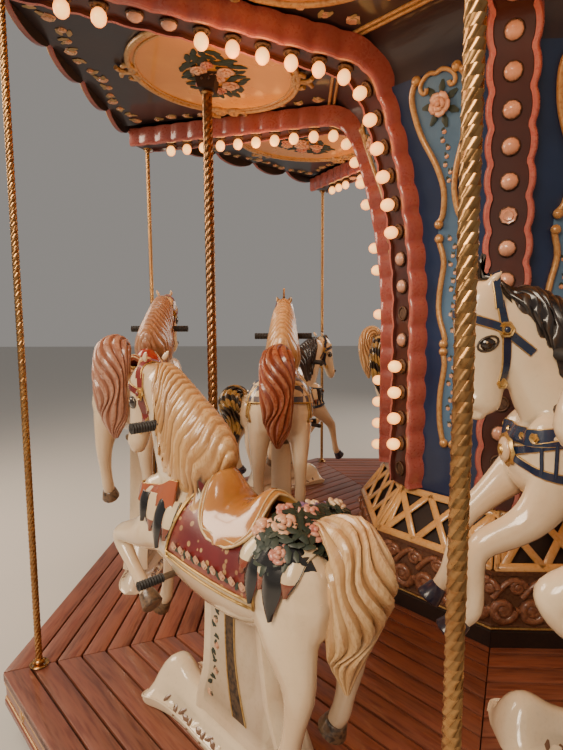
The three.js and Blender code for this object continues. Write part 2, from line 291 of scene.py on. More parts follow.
def moulding(points: Sequence[Point], radius: float, finish: Finish, closed: bool = False) -> Piece:
    """Run a round moulding along a line of points.

    Args:
        points: the line's points.
        radius: half the moulding's width, below 6 mm a four-sided cord.
        finish: its finish.
        closed: whether it joins up with its start.

    Returns:
        The moulding as a mesh.
    """
    fresh()
    line = bpy.data.curves.new("moulding", "CURVE")
    line.dimensions = "3D"
    line.bevel_depth = radius
    line.bevel_resolution = 1 if radius > 0.006 else 0
    line.use_fill_caps = True
    spline = line.splines.new("POLY")
    spline.points.add(len(points) - 1)
    for point, place in zip(spline.points, points):
        point.co = (*place, 1)
    spline.use_cyclic_u = closed
    obj = bpy.data.objects.new("moulding", line)
    bpy.context.scene.collection.objects.link(obj)
    pick(obj)
    bpy.ops.object.convert(target="MESH")
    return wear(smooth(bpy.context.object, 95), finish)


def ring_of(centre: Point, radius: float, thick: float) -> Piece:
    """Model a small torus that lies flat."""
    fresh()
    bpy.ops.mesh.primitive_torus_add(
        major_segments=12, minor_segments=4, major_radius=radius, minor_radius=thick, location=centre
    )
    return smooth(settle(bpy.context.object, "ring"), 180)


def flowing(rows: Sequence[tuple[float, ...]], steps: int) -> list[tuple[float, ...]]:
    """Return rows of numbers with smooth in-between rows, a number of steps from each to the next."""
    last = len(rows) - 1
    result = []
    for i in range(last):
        near = [rows[min(max(k, 0), last)] for k in range(i - 1, i + 3)]
        for k in range(steps):
            t = k / steps
            row = []
            for before, a, b, after in zip(*near):
                turn = 2 * before - 5 * a + 4 * b - after
                row.append(a + 0.5 * t * (b - before + t * (turn + t * (3 * a - before - 3 * b + after))))
            result.append(tuple(row))
    result.append(tuple(rows[-1]))
    return result


def aim(obj: Piece, place: Point, facing: Point, spin: float = 0.0) -> Piece:
    """Turn a piece that was drawn facing +Z to face a direction, at a place."""
    turn = Vector(facing).to_track_quat("Z", "Y").to_matrix().to_4x4() @ Matrix.Rotation(spin, 4, "Z")
    obj.data.transform(Matrix.Translation(place) @ turn)
    return obj


def rosette(place: Point, facing: Point, radius: float, height: float, petals: int = 5) -> Piece:
    """Model an open rose of ruffled rings.

    Args:
        place: its base.
        facing: the way it faces.
        radius: half its width.
        height: how far it stands out.
        petals: petals in a ring.

    Returns:
        The rose.
    """

    def build() -> Piece:
        """Extrude the ruffled rings of a rose one unit wide and high."""
        fresh()
        bpy.ops.mesh.primitive_circle_add(vertices=petals * 2, radius=1.0, fill_type="NGON")
        rose = bpy.context.object
        bpy.ops.object.mode_set(mode="EDIT")
        bpy.ops.mesh.select_all(action="SELECT")
        last_radius, last_height = 1.0, 0.0
        for share, lift in ((0.92, 0.5), (0.62, 0.30), (0.54, 0.92), (0.20, 0.72)):
            bpy.ops.mesh.extrude_region_move(TRANSFORM_OT_translate={"value": (0, 0, lift - last_height)})
            bpy.ops.transform.resize(
                value=(share / last_radius, share / last_radius, 1), center_override=(0, 0, 0)
            )
            bpy.ops.transform.rotate(value=0.3, orient_axis="Z", center_override=(0, 0, 0))
            last_radius, last_height = share, lift
        face_outwards()
        for vertex in rose.data.vertices:
            ruffle = 1 + 0.10 * cos(petals * atan2(vertex.co.y, vertex.co.x))
            vertex.co.x *= ruffle
            vertex.co.y *= ruffle
        return smooth(rose, 35)

    rose = from_mould(f"rose_{petals}", build)
    rose.data.transform(Matrix.Diagonal((radius, radius, height, 1)))
    return aim(rose, place, facing)


def rose(place: Point, facing: Point, radius: float, height: float) -> Piece:
    """Model a full rose of round overlapping petals.

    Args:
        place: its base.
        facing: the way it faces.
        radius: half its width.
        height: how far it stands out.

    Returns:
        The rose.
    """

    def build() -> Piece:
        """Set two rings of dished petals round a bud, one unit wide and high."""
        petals = []
        for count, out, size, lift, lean in (
            (5, 0.56, 0.48, 0.30, 0.5), (3, 0.30, 0.37, 0.55, 0.95), (1, 0.0, 0.22, 0.78, 0.0)
        ):
            for i in range(count):
                fresh()
                bpy.ops.mesh.primitive_uv_sphere_add(segments=7, ring_count=4)
                petal = bpy.context.object
                turn = tau * (i + 0.35 * count) / count
                set_out = Matrix.Rotation(turn, 4, "Z") @ Matrix.Translation((out, 0, lift))
                matrix = set_out @ Matrix.Rotation(-lean, 4, "Y")
                petal.data.transform(matrix @ Matrix.Diagonal((size, size * 1.15, 0.22, 1)))
                petals.append(petal)
        return smooth(join("rose", petals), 180)

    flower = from_mould("full_rose", build)
    flower.data.transform(Matrix.Diagonal((radius, radius, height, 1)))
    return aim(flower, place, facing)


def leaf(place: Point, facing: Point, length: float, spin: float) -> Piece:
    """Model a small pointed leaf, folded along its rib."""

    def build() -> Piece:
        """Bend a fan of faces into a leaf one unit long each way."""
        fresh()
        bpy.ops.mesh.primitive_circle_add(vertices=6, radius=1.0, fill_type="TRIFAN")
        blade = bpy.context.object
        for vertex in blade.data.vertices:
            x, y = vertex.co.x, vertex.co.y
            vertex.co = (x, y * 0.44 * (1 - 0.35 * abs(x)), 0.16 - 0.15 * abs(y) - 0.10 * x * x)
        modify(blade, "SOLIDIFY", thickness=0.10, offset=0)
        return smooth(blade, 30)

    blade = from_mould("leaf", build)
    blade.data.transform(Matrix.Scale(length, 4))
    return aim(blade, place, facing, spin)


def wear(obj: Piece, finish: Finish) -> Piece:
    """Give a whole piece one finish."""
    obj.data.materials.clear()
    obj.data.materials.append(finish.material())
    return obj


def paint(obj: Piece, finish: Finish, test: Callable[[bpy.types.MeshPolygon], bool]) -> Piece:
    """Give the faces that pass a test another finish."""
    obj.data.materials.append(finish.material())
    index = len(obj.data.materials) - 1
    for face in obj.data.polygons:
        if test(face):
            face.material_index = index
    return obj


def stamp(mesh: bpy.types.Mesh, offset: float) -> None:
    """Store where each point was made, shifted, so that patterns differ from those of its twins."""
    layer = mesh.attributes.get(Space.PIECE.value)
    count = 3 * len(mesh.vertices)
    places = [0.0] * count
    if layer is None:
        layer = mesh.attributes.new(Space.PIECE.value, "FLOAT_VECTOR", "POINT")
        mesh.vertices.foreach_get("co", places)
    else:
        layer.data.foreach_get("vector", places)
    layer.data.foreach_set("vector", [value + offset for value in places])


def copy_piece(
    proto: Piece,
    name: str,
    matrix: Matrix,
    body: str,
    offset: float = 0.0,
    swaps: dict[str, Finish] | None = None,
) -> Piece:
    """Set a copy of a modelled piece on the ride, with a mesh of its own.

    Args:
        proto: the piece as modelled.
        name: the copy's name.
        matrix: where it goes.
        body: the body it rides on.
        offset: shift of its pattern, in metres.
        swaps: finishes to put in place of those it was modelled with, by name.

    Returns:
        The copy.
    """
    mesh = proto.data.copy()
    stamp(mesh, offset)
    mesh.transform(matrix)
    if matrix.determinant() < 0:
        mesh.flip_normals()
    mesh.name = name
    for index, material in enumerate(mesh.materials):
        other = (swaps or {}).get(material.name)
        if other:
            mesh.materials[index] = other.material()
    piece = bpy.data.objects.new(name, mesh)
    bpy.context.scene.collection.objects.link(piece)
    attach(piece, body)
    return piece


# Finishes


class Space(Enum):
    """Where a finish takes the place of its pattern from."""

    PIECE = "make"
    FRAME = "frame"


def weathering_and_shade() -> bpy.types.NodeTree:
    """Build the group that ages a colour by patches, worn edges and specks of dirt, and darkens its hollows
    as painted shade.

    Returns:
        The node group, with Colour, Roughness and Height outputs.
    """
    tree = bpy.data.node_groups.new("weathering_and_shade", "ShaderNodeTree")
    wanted = (
        ("Place", "Vector"),
        ("Pointiness", "Float"),
        ("Colour", "Color"),
        ("Patches", "Color"),
        ("Worn", "Color"),
        ("Patch Scale", "Float"),
        ("Patch Amount", "Float"),
        ("Wear", "Float"),
        ("Grime And Shade", "Float"),
        ("Grain Scale", "Float"),
        ("Base Roughness", "Float"),
    )
    for name, kind in wanted:
        tree.interface.new_socket(name, in_out="INPUT", socket_type=f"NodeSocket{kind}")
    for name, kind in (("Colour", "Color"), ("Roughness", "Float"), ("Height", "Float")):
        tree.interface.new_socket(name, in_out="OUTPUT", socket_type=f"NodeSocket{kind}")
    nodes = Nodes(tree)
    entry = nodes.add("NodeGroupInput")
    given = {socket.name: socket for socket in entry.outputs}
    patches = nodes.add("ShaderNodeTexNoise", Vector=given["Place"], Scale=given["Patch Scale"], Detail=5.0)
    grain = nodes.add("ShaderNodeTexNoise", Vector=given["Place"], Scale=given["Grain Scale"], Detail=4.0)
    patch = nodes.span(patches.outputs["Fac"], 0.38, 0.62)
    patch = nodes.math("MULTIPLY", patch, given["Patch Amount"])
    toned = nodes.mix(patch, given["Colour"], given["Patches"])
    edge = nodes.span(given["Pointiness"], 0.505, 0.56)
    edge = nodes.math(
        "MULTIPLY", nodes.math("MULTIPLY", edge, nodes.span(grain.outputs["Fac"], 0.3, 0.6)), given["Wear"]
    )
    worn = nodes.mix(edge, toned, given["Worn"])
    # Painted shade: hollows, found by pointiness, are darkened towards dark brown; the grain specks added to
    # them are dirt.
    hollow = nodes.span(given["Pointiness"], 0.5, 0.44)
    speck = nodes.span(grain.outputs["Fac"], 0.52, 0.72)
    dirt_and_shade = nodes.math(
        "MULTIPLY", nodes.math("ADD", hollow, nodes.math("MULTIPLY", speck, 0.07)), given["Grime And Shade"]
    )
    grimy_and_shaded = nodes.mix(nodes.math("MINIMUM", dirt_and_shade, 0.85), worn, (0.025, 0.012, 0.006, 1))
    rough = nodes.math("MULTIPLY_ADD", patches.outputs["Fac"], 0.22, given["Base Roughness"])
    rough = nodes.math("ADD", rough, nodes.math("MULTIPLY", edge, 0.25))
    height = nodes.math("MULTIPLY_ADD", patches.outputs["Fac"], 0.5, grain.outputs["Fac"])
    out = nodes.add("NodeGroupOutput")
    nodes.link(grimy_and_shaded, out.inputs["Colour"])
    nodes.link(nodes.math("SUBTRACT", rough, 0.11), out.inputs["Roughness"])
    nodes.link(height, out.inputs["Height"])
    return tree


class Nodes:
    """A node tree and short ways to add to it."""

    def __init__(self, tree: bpy.types.NodeTree) -> None:
        """Keep the tree that the nodes go into."""
        self.tree = tree

    def link(self, source: object, target: bpy.types.NodeSocket) -> None:
        """Link a socket to an input, or set a plain value on it."""
        if isinstance(source, bpy.types.NodeSocket):
            self.tree.links.new(source, target)
        else:
            target.default_value = source

    def add(self, kind: str, **inputs: object) -> bpy.types.Node:
        """Add a node of a kind, and link or set the inputs that are named."""
        node = self.tree.nodes.new(kind)
        for name, source in inputs.items():
            self.link(source, node.inputs[name])
        return node

    def math(self, operation: str, *sources: object) -> bpy.types.NodeSocket:
        """Add a math node and return its result."""
        node = self.tree.nodes.new("ShaderNodeMath")
        node.operation = operation
        for source, target in zip(sources, node.inputs):
            self.link(source, target)
        return node.outputs[0]

    def span(self, source: object, low: float, high: float) -> bpy.types.NodeSocket:
        """Stretch the range from low to high over 0 to 1, with soft ends."""
        node = self.tree.nodes.new("ShaderNodeMapRange")
        node.interpolation_type = "SMOOTHSTEP"
        self.link(source, node.inputs["Value"])
        flip = low > high
        node.inputs["From Min"].default_value = min(low, high)
        node.inputs["From Max"].default_value = max(low, high)
        node.inputs["To Min"].default_value = 1.0 if flip else 0.0
        node.inputs["To Max"].default_value = 0.0 if flip else 1.0
        return node.outputs["Result"]

    def mix(self, share: object, first: object, second: object) -> bpy.types.NodeSocket:
        """Mix two colours by a share and return the result."""
        node = self.tree.nodes.new("ShaderNodeMix")
        node.data_type = "RGBA"
        self.link(share, node.inputs[0])
        self.link(first, node.inputs[6])
        self.link(second, node.inputs[7])
        return node.outputs[2]


class Pattern(Enum):
    """A painted pattern."""

    PLAIN = "plain"
    CHECKS = "checks"
    FLOWERS = "flowers"
    BANDS = "bands"


@dataclass(frozen=True)
class Finish:
    """A painted, gilded, wooden or metal finish."""

    name: str
    colour: Colour
    patches: Colour
    patch_scale: float = 6.0
    patch_amount: float = 0.6
    worn: Colour = (0.30, 0.17, 0.08)
    wear: float = 0.3
    # how far hollows are darkened as painted shade, with specks of dirt
    grime_and_shade: float = 0.35
    roughness: float = 0.35
    metallic: float = 0.0
    coat: float = 0.0
    grain_scale: float = 70.0
    bump: float = 0.15
    stretch: Point = (1.0, 1.0, 1.0)
    glow: float = 0.0
    space: Space = Space.PIECE
    pattern: Pattern = Pattern.PLAIN
    second: Colour = (0.5, 0.3, 0.1)
    pattern_scale: float = 20.0

    def ground(self, nodes: Nodes, place: bpy.types.NodeSocket) -> object:
        """Return the colour before ageing and painted shade: plain, or the two colours of the pattern."""
        first, second = (*self.colour, 1), (*self.second, 1)
        if self.pattern is Pattern.CHECKS:
            checks = nodes.add("ShaderNodeTexChecker", Vector=place, Scale=self.pattern_scale)
            return nodes.mix(checks.outputs["Fac"], first, second)
        if self.pattern is Pattern.FLOWERS:
            cells = nodes.add("ShaderNodeTexVoronoi", Vector=place, Scale=self.pattern_scale)
            return nodes.mix(nodes.span(cells.outputs["Distance"], 0.34, 0.26), first, second)
        if self.pattern is Pattern.BANDS:
            rows = nodes.add("ShaderNodeTexWave", Vector=place, Scale=5.0, Distortion=1.5)
            rows.bands_direction = "DIAGONAL"
            return nodes.mix(nodes.span(rows.outputs["Fac"], 0.45, 0.55), first, second)
        return first

    def material(self) -> bpy.types.Material:
        """Return this finish's material, built the first time."""
        found = bpy.data.materials.get(self.name)
        if found:
            return found
        made = bpy.data.materials.new(self.name)
        made.use_nodes = True
        nodes = Nodes(made.node_tree)
        shader = made.node_tree.nodes["Principled BSDF"]
        if self.space is Space.PIECE:
            place = nodes.add("ShaderNodeAttribute")
            place.attribute_name = Space.PIECE.value
            source = place.outputs["Vector"]
        else:
            source = nodes.add("ShaderNodeTexCoord").outputs["Object"]
        mapping = nodes.add("ShaderNodeMapping", Vector=source, Scale=self.stretch)
        edges = nodes.add("ShaderNodeNewGeometry")
        aged_and_shaded = made.node_tree.nodes.new("ShaderNodeGroup")
        aged_and_shaded.node_tree = bpy.data.node_groups.get("weathering_and_shade") or weathering_and_shade()
        for name, value in (
            ("Place", mapping.outputs["Vector"]),
            ("Pointiness", edges.outputs["Pointiness"]),
            ("Colour", self.ground(nodes, mapping.outputs["Vector"])),
            ("Patches", (*self.patches, 1)),
            ("Worn", (*self.worn, 1)),
            ("Patch Scale", self.patch_scale),
            ("Patch Amount", self.patch_amount),
            ("Wear", self.wear),
            ("Grime And Shade", self.grime_and_shade),
            ("Grain Scale", self.grain_scale),
            ("Base Roughness", self.roughness),
        ):
            nodes.link(value, aged_and_shaded.inputs[name])
        nodes.link(aged_and_shaded.outputs["Colour"], shader.inputs["Base Color"])
        nodes.link(aged_and_shaded.outputs["Roughness"], shader.inputs["Roughness"])
        bump = nodes.add(
            "ShaderNodeBump", Height=aged_and_shaded.outputs["Height"], Strength=self.bump, Distance=0.002
        )
        nodes.link(bump.outputs["Normal"], shader.inputs["Normal"])
        shader.inputs["Metallic"].default_value = self.metallic
        shader.inputs["Coat Weight"].default_value = self.coat
        shader.inputs["Coat Roughness"].default_value = 0.08
        if self.glow:
            facing = nodes.add("ShaderNodeLayerWeight", Blend=0.5).outputs["Facing"]
            nodes.link(
                nodes.mix(facing, (*self.colour, 1), (*self.patches, 1)), shader.inputs["Emission Color"]
            )
            shader.inputs["Emission Strength"].default_value = self.glow
        return made


HIDE = Finish(
    "cream_enamel", (0.82, 0.66, 0.45), (0.72, 0.50, 0.30), patch_scale=3.2, patch_amount=0.5, coat=0.9,
    roughness=0.20, grime_and_shade=0.6, wear=0.0, grain_scale=55, bump=0.03,
)
# Near-black painted shade: the lining of the belly's slot, the nostrils and the slot down the pedestal's
# column.
PAINTED_SHADE = Finish("painted_shade_black", (0.012, 0.010, 0.009), (0.02, 0.015, 0.012), roughness=0.7)
HOOF = Finish("hoof_black", (0.035, 0.026, 0.022), (0.07, 0.045, 0.03), coat=0.5, roughness=0.3, wear=0.5)
EYE = Finish(
    "eye_glass", (0.012, 0.008, 0.006), (0.03, 0.015, 0.008), coat=1.0, roughness=0.11, wear=0, bump=0
)
HAIR_DARK = Finish(
    "hair_black", (0.012, 0.011, 0.012), (0.03, 0.022, 0.018), coat=0.55, roughness=0.30, wear=0.25,
    worn=(0.17, 0.10, 0.045),
)
MANE = Finish(
    "mane_blond", (0.56, 0.31, 0.12), (0.36, 0.16, 0.055), patch_scale=9, coat=0.6, roughness=0.26,
    grime_and_shade=1.0,
    wear=0.55, worn=(0.86, 0.60, 0.32), stretch=(2.5, 1.0, 0.6),
)
TAIL = replace(MANE, name="tail_blond", colour=(0.60, 0.38, 0.18), patches=(0.44, 0.21, 0.08), grime_and_shade=0.4)
SADDLE = Finish(
    "saddle_tan", (0.50, 0.22, 0.055), (0.36, 0.13, 0.03), patch_scale=5, coat=1.0, roughness=0.17,
    grime_and_shade=0.5,
    wear=0.15, worn=(0.75, 0.45, 0.16), bump=0.04,
)
RIM = Finish("saddle_rim", (0.72, 0.52, 0.26), (0.5, 0.3, 0.12), coat=0.7, roughness=0.25, grime_and_shade=0.5)
CLOTH = Finish(
    "cloth_maroon",
    (0.17, 0.020, 0.022),
    (0.10, 0.012, 0.014),
    patch_scale=8,
    coat=0.6,
    roughness=0.3,
    worn=(0.4, 0.12, 0.06),
)
STRIP = Finish("cloth_cream", (0.74, 0.62, 0.42), (0.55, 0.40, 0.22), coat=0.6, roughness=0.3)
TRIM = Finish(
    "tack_gold",
    (0.62, 0.38, 0.11),
    (0.40, 0.20, 0.05),
    metallic=0.75,
    roughness=0.32,
    grime_and_shade=0.8,
    worn=(0.8, 0.6, 0.28),
    wear=0.5,
)
BREAST = Finish("breast_leather", (0.40, 0.10, 0.035), (0.24, 0.05, 0.02), coat=0.7, roughness=0.26, wear=0)
STRAP = Finish("strap_maroon", (0.22, 0.028, 0.022), (0.12, 0.014, 0.012), coat=0.7, roughness=0.26, wear=0)
TASSEL = Finish("tassel_cream", (0.78, 0.64, 0.42), (0.66, 0.46, 0.26), coat=0.7, roughness=0.24, wear=0)
TASSEL_TIP = Finish("tassel_red", (0.24, 0.045, 0.022), (0.16, 0.03, 0.015), coat=0.7, roughness=0.26)
TASSEL_DARK = Finish(
    "tassel_black", (0.010, 0.010, 0.011), (0.02, 0.018, 0.016), coat=0.8, roughness=0.22, wear=0
)
ROSE = Finish(
    "rose_pink", (0.50, 0.15, 0.12), (0.66, 0.34, 0.22), patch_scale=22, coat=0.5, roughness=0.32,
    grime_and_shade=0.9,
    worn=(0.80, 0.50, 0.36), wear=0.2,
)
ROSE_CREAM = replace(ROSE, name="rose_cream", colour=(0.70, 0.52, 0.32), patches=(0.60, 0.34, 0.20))
VIOLET = replace(ROSE, name="violet", colour=(0.16, 0.09, 0.24), patches=(0.24, 0.16, 0.30), wear=0)
LEAF = Finish(
    "leaf_dark", (0.012, 0.028, 0.022), (0.026, 0.034, 0.014), patch_scale=20, coat=0.1, roughness=0.5,
    worn=(0.16, 0.15, 0.07), wear=0.08,
)
BLOSSOM = Finish(
    "blossom_pale",
    (0.72, 0.46, 0.28),
    (0.55, 0.20, 0.12),
    patch_scale=30,
    coat=0.4,
    roughness=0.4,
    grime_and_shade=0.8,
)
CHROME = Finish(
    "worn_steel", (0.42, 0.40, 0.37), (0.28, 0.25, 0.22), metallic=1.0, roughness=0.28, grime_and_shade=0.5
)
RUBBER = Finish(
    "black_rubber",
    (0.016, 0.015, 0.015),
    (0.03, 0.028, 0.026),
    roughness=0.55,
    wear=0.2,
    worn=(0.08, 0.07, 0.06),
)
ARCH_SIDE = Finish(
    "arch_red", (0.36, 0.078, 0.062), (0.27, 0.052, 0.042), patch_scale=5, coat=0.6, roughness=0.27,
    grime_and_shade=0.9,
    worn=(0.55, 0.25, 0.16), wear=0.15,
)
ARCH_LIP = Finish(
    "arch_pink", (0.44, 0.11, 0.090), (0.34, 0.075, 0.062), patch_scale=7, coat=0.6, roughness=0.27,
    grime_and_shade=0.8,
    worn=(0.6, 0.3, 0.2), wear=0.2,
)
# The rib's channel floor: a dark maroon, darker than the sides as painted shade of the recess.
ARCH_FLOOR = Finish(
    "arch_maroon", (0.085, 0.020, 0.016), (0.05, 0.012, 0.010), patch_scale=7, coat=0.3, wear=0
)
SOCKET = Finish("lamp_socket", (0.030, 0.012, 0.010), (0.05, 0.018, 0.012), roughness=0.5)
LAMP_LIT = Finish(
    "lamp_lit", (1.0, 0.60, 0.20), (1.0, 0.24, 0.03), roughness=0.3, glow=2.2, wear=0, grime_and_shade=0, bump=0
)
LAMP_DOME = Finish(
    "lamp_dome", (0.70, 0.38, 0.26), (0.58, 0.26, 0.15), patch_scale=18, coat=0.7, roughness=0.25,
    grime_and_shade=0.6, wear=0.1,
)
PANEL_NAVY = Finish(
    "panel_navy", (0.012, 0.028, 0.090), (0.007, 0.016, 0.052), patch_scale=3, coat=0.5, wear=0
)
PANEL_BLUE = Finish(
    "panel_blue", (0.085, 0.175, 0.300), (0.055, 0.120, 0.220), patch_scale=5, coat=0.5, wear=0
)
GILT = Finish(
    "gilt_moulding",
    (0.50, 0.25, 0.075),
    (0.36, 0.15, 0.04),
    patch_scale=9,
    metallic=0.35,
    coat=0.5,
    roughness=0.3,
    grime_and_shade=0.7,
    worn=(0.75, 0.5, 0.22),
    wear=0.5,
)
ROSE_PALE = replace(ROSE, name="rose_pale", colour=(0.72, 0.42, 0.26), patches=(0.62, 0.26, 0.15))
LEAF_DULL = replace(LEAF, name="leaf_dull", colour=(0.38, 0.27, 0.13), patches=(0.20, 0.16, 0.06))
# Near-black: the paint of the kick board and other dark parts, and painted shade on the sub-deck under the
# deck boards.
KICK_AND_SHADE = Finish(
    "kick_board_and_shade",
    (0.016, 0.010, 0.009),
    (0.026, 0.015, 0.012),
    roughness=0.5,
    wear=0.1,
    worn=(0.10, 0.05, 0.03),
)
PLINTH = Finish(
    "plinth_brown",
    (0.115, 0.040, 0.026),
    (0.075, 0.026, 0.018),
    patch_scale=6,
    coat=0.4,
    roughness=0.35,
    grime_and_shade=0.6,
)
PLINTH_RELIEF = Finish(
    "plinth_carving",
    (0.20, 0.072, 0.042),
    (0.13, 0.045, 0.027),
    patch_scale=9,
    coat=0.5,
    roughness=0.32,
    grime_and_shade=0.8,
    worn=(0.42, 0.2, 0.1),
    wear=0.5,
)
LATTICE = Finish(
    "lattice_ochre", (0.70, 0.38, 0.12), (0.52, 0.24, 0.065), patch_scale=8, coat=0.6, roughness=0.28,
    grime_and_shade=0.6,
    worn=(0.85, 0.58, 0.28), wear=0.25,
)
CEILING_DARK = Finish(
    "ceiling_dark", (0.022, 0.016, 0.022), (0.038, 0.020, 0.016), patch_scale=2.2, coat=0.5, wear=0
)
MEDALLION = Finish(
    "medallion_gold", (0.78, 0.36, 0.065), (0.62, 0.24, 0.040), patch_scale=2.6, coat=0.6, roughness=0.28,
    grime_and_shade=0.4,
    wear=0,
)
BOARD = Finish(
    "deck_board", (0.190, 0.050, 0.028), (0.095, 0.026, 0.016), patch_scale=2.2, patch_amount=0.8,
    coat=0.35,
    roughness=0.36, grime_and_shade=0.6, wear=0.4, worn=(0.34, 0.13, 0.07), grain_scale=14, bump=0.35,
    stretch=(7.0, 0.55, 7.0),
)
RIM_RED = Finish(
    "rim_red",
    (0.20, 0.022, 0.018),
    (0.13, 0.015, 0.012),
    patch_scale=4,
    coat=0.5,
    roughness=0.32,
    grime_and_shade=0.5,
)
PEDESTAL = Finish(
    "pedestal_white", (0.78, 0.64, 0.45), (0.64, 0.45, 0.28), patch_scale=3.0, patch_amount=0.5, coat=0.9,
    roughness=0.20, grime_and_shade=0.9, wear=0, bump=0.04,
)
CHECKED_CLOTH = replace(
    STRIP,
    name="cloth_checked",
    pattern=Pattern.CHECKS,
    second=(0.012, 0.045, 0.11),
    pattern_scale=20,
    patch_amount=0.1,
)
PEDESTAL_DARK = replace(
    PEDESTAL, name="pedestal_leaf", colour=(0.16, 0.085, 0.05), patches=(0.30, 0.17, 0.09), coat=0.3
)
BRASS = Finish(
    "twisted_brass", (0.46, 0.24, 0.085), (0.26, 0.11, 0.040), patch_scale=7, metallic=1.0, roughness=0.26,
    grime_and_shade=1.0,
    worn=(0.74, 0.48, 0.22), wear=0.3,
)
# The stout poles' brass: more coppery, and darker as painted shade.
COPPERY_SHADED_BRASS = replace(BRASS, name="twisted_brass_coppery_shaded", colour=(0.24, 0.100, 0.042), patches=(0.13, 0.048, 0.022))
BOARD_RED = Finish(
    "board_red",
    (0.24, 0.022, 0.018),
    (0.16, 0.016, 0.014),
    patch_scale=3,
    coat=0.6,
    roughness=0.28,
    grime_and_shade=0.45,
)
ROOF_RED = Finish(
    "roof_red",
    (0.30, 0.030, 0.022),
    (0.22, 0.022, 0.018),
    patch_scale=2.5,
    coat=0.4,
    roughness=0.35,
    stretch=(0.6, 3.0, 0.6),
)
ROOF_CREAM = Finish(
    "roof_cream",
    (0.72, 0.60, 0.42),
    (0.60, 0.46, 0.29),
    patch_scale=2.5,
    coat=0.4,
    roughness=0.35,
    stretch=(0.6, 3.0, 0.6),
)
STEEL = Finish("painted_steel", (0.045, 0.043, 0.04), (0.09, 0.07, 0.05), space=Space.FRAME, roughness=0.5)


def dress_nodes() -> None:
    """Give the CAD nodes that are still shown their finish."""
    for name in ("ground_frame", "centre_mast", "turntable_frame"):
        wear(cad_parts[name], STEEL)


# Horses


@dataclass(frozen=True)
class Look:
    """A horse's coat and tack: finishes put in place of the plain ones, and the tack that it goes without."""

    finishes: dict[str, Finish] = field(default_factory=dict)
    without: tuple[str, ...] = ()


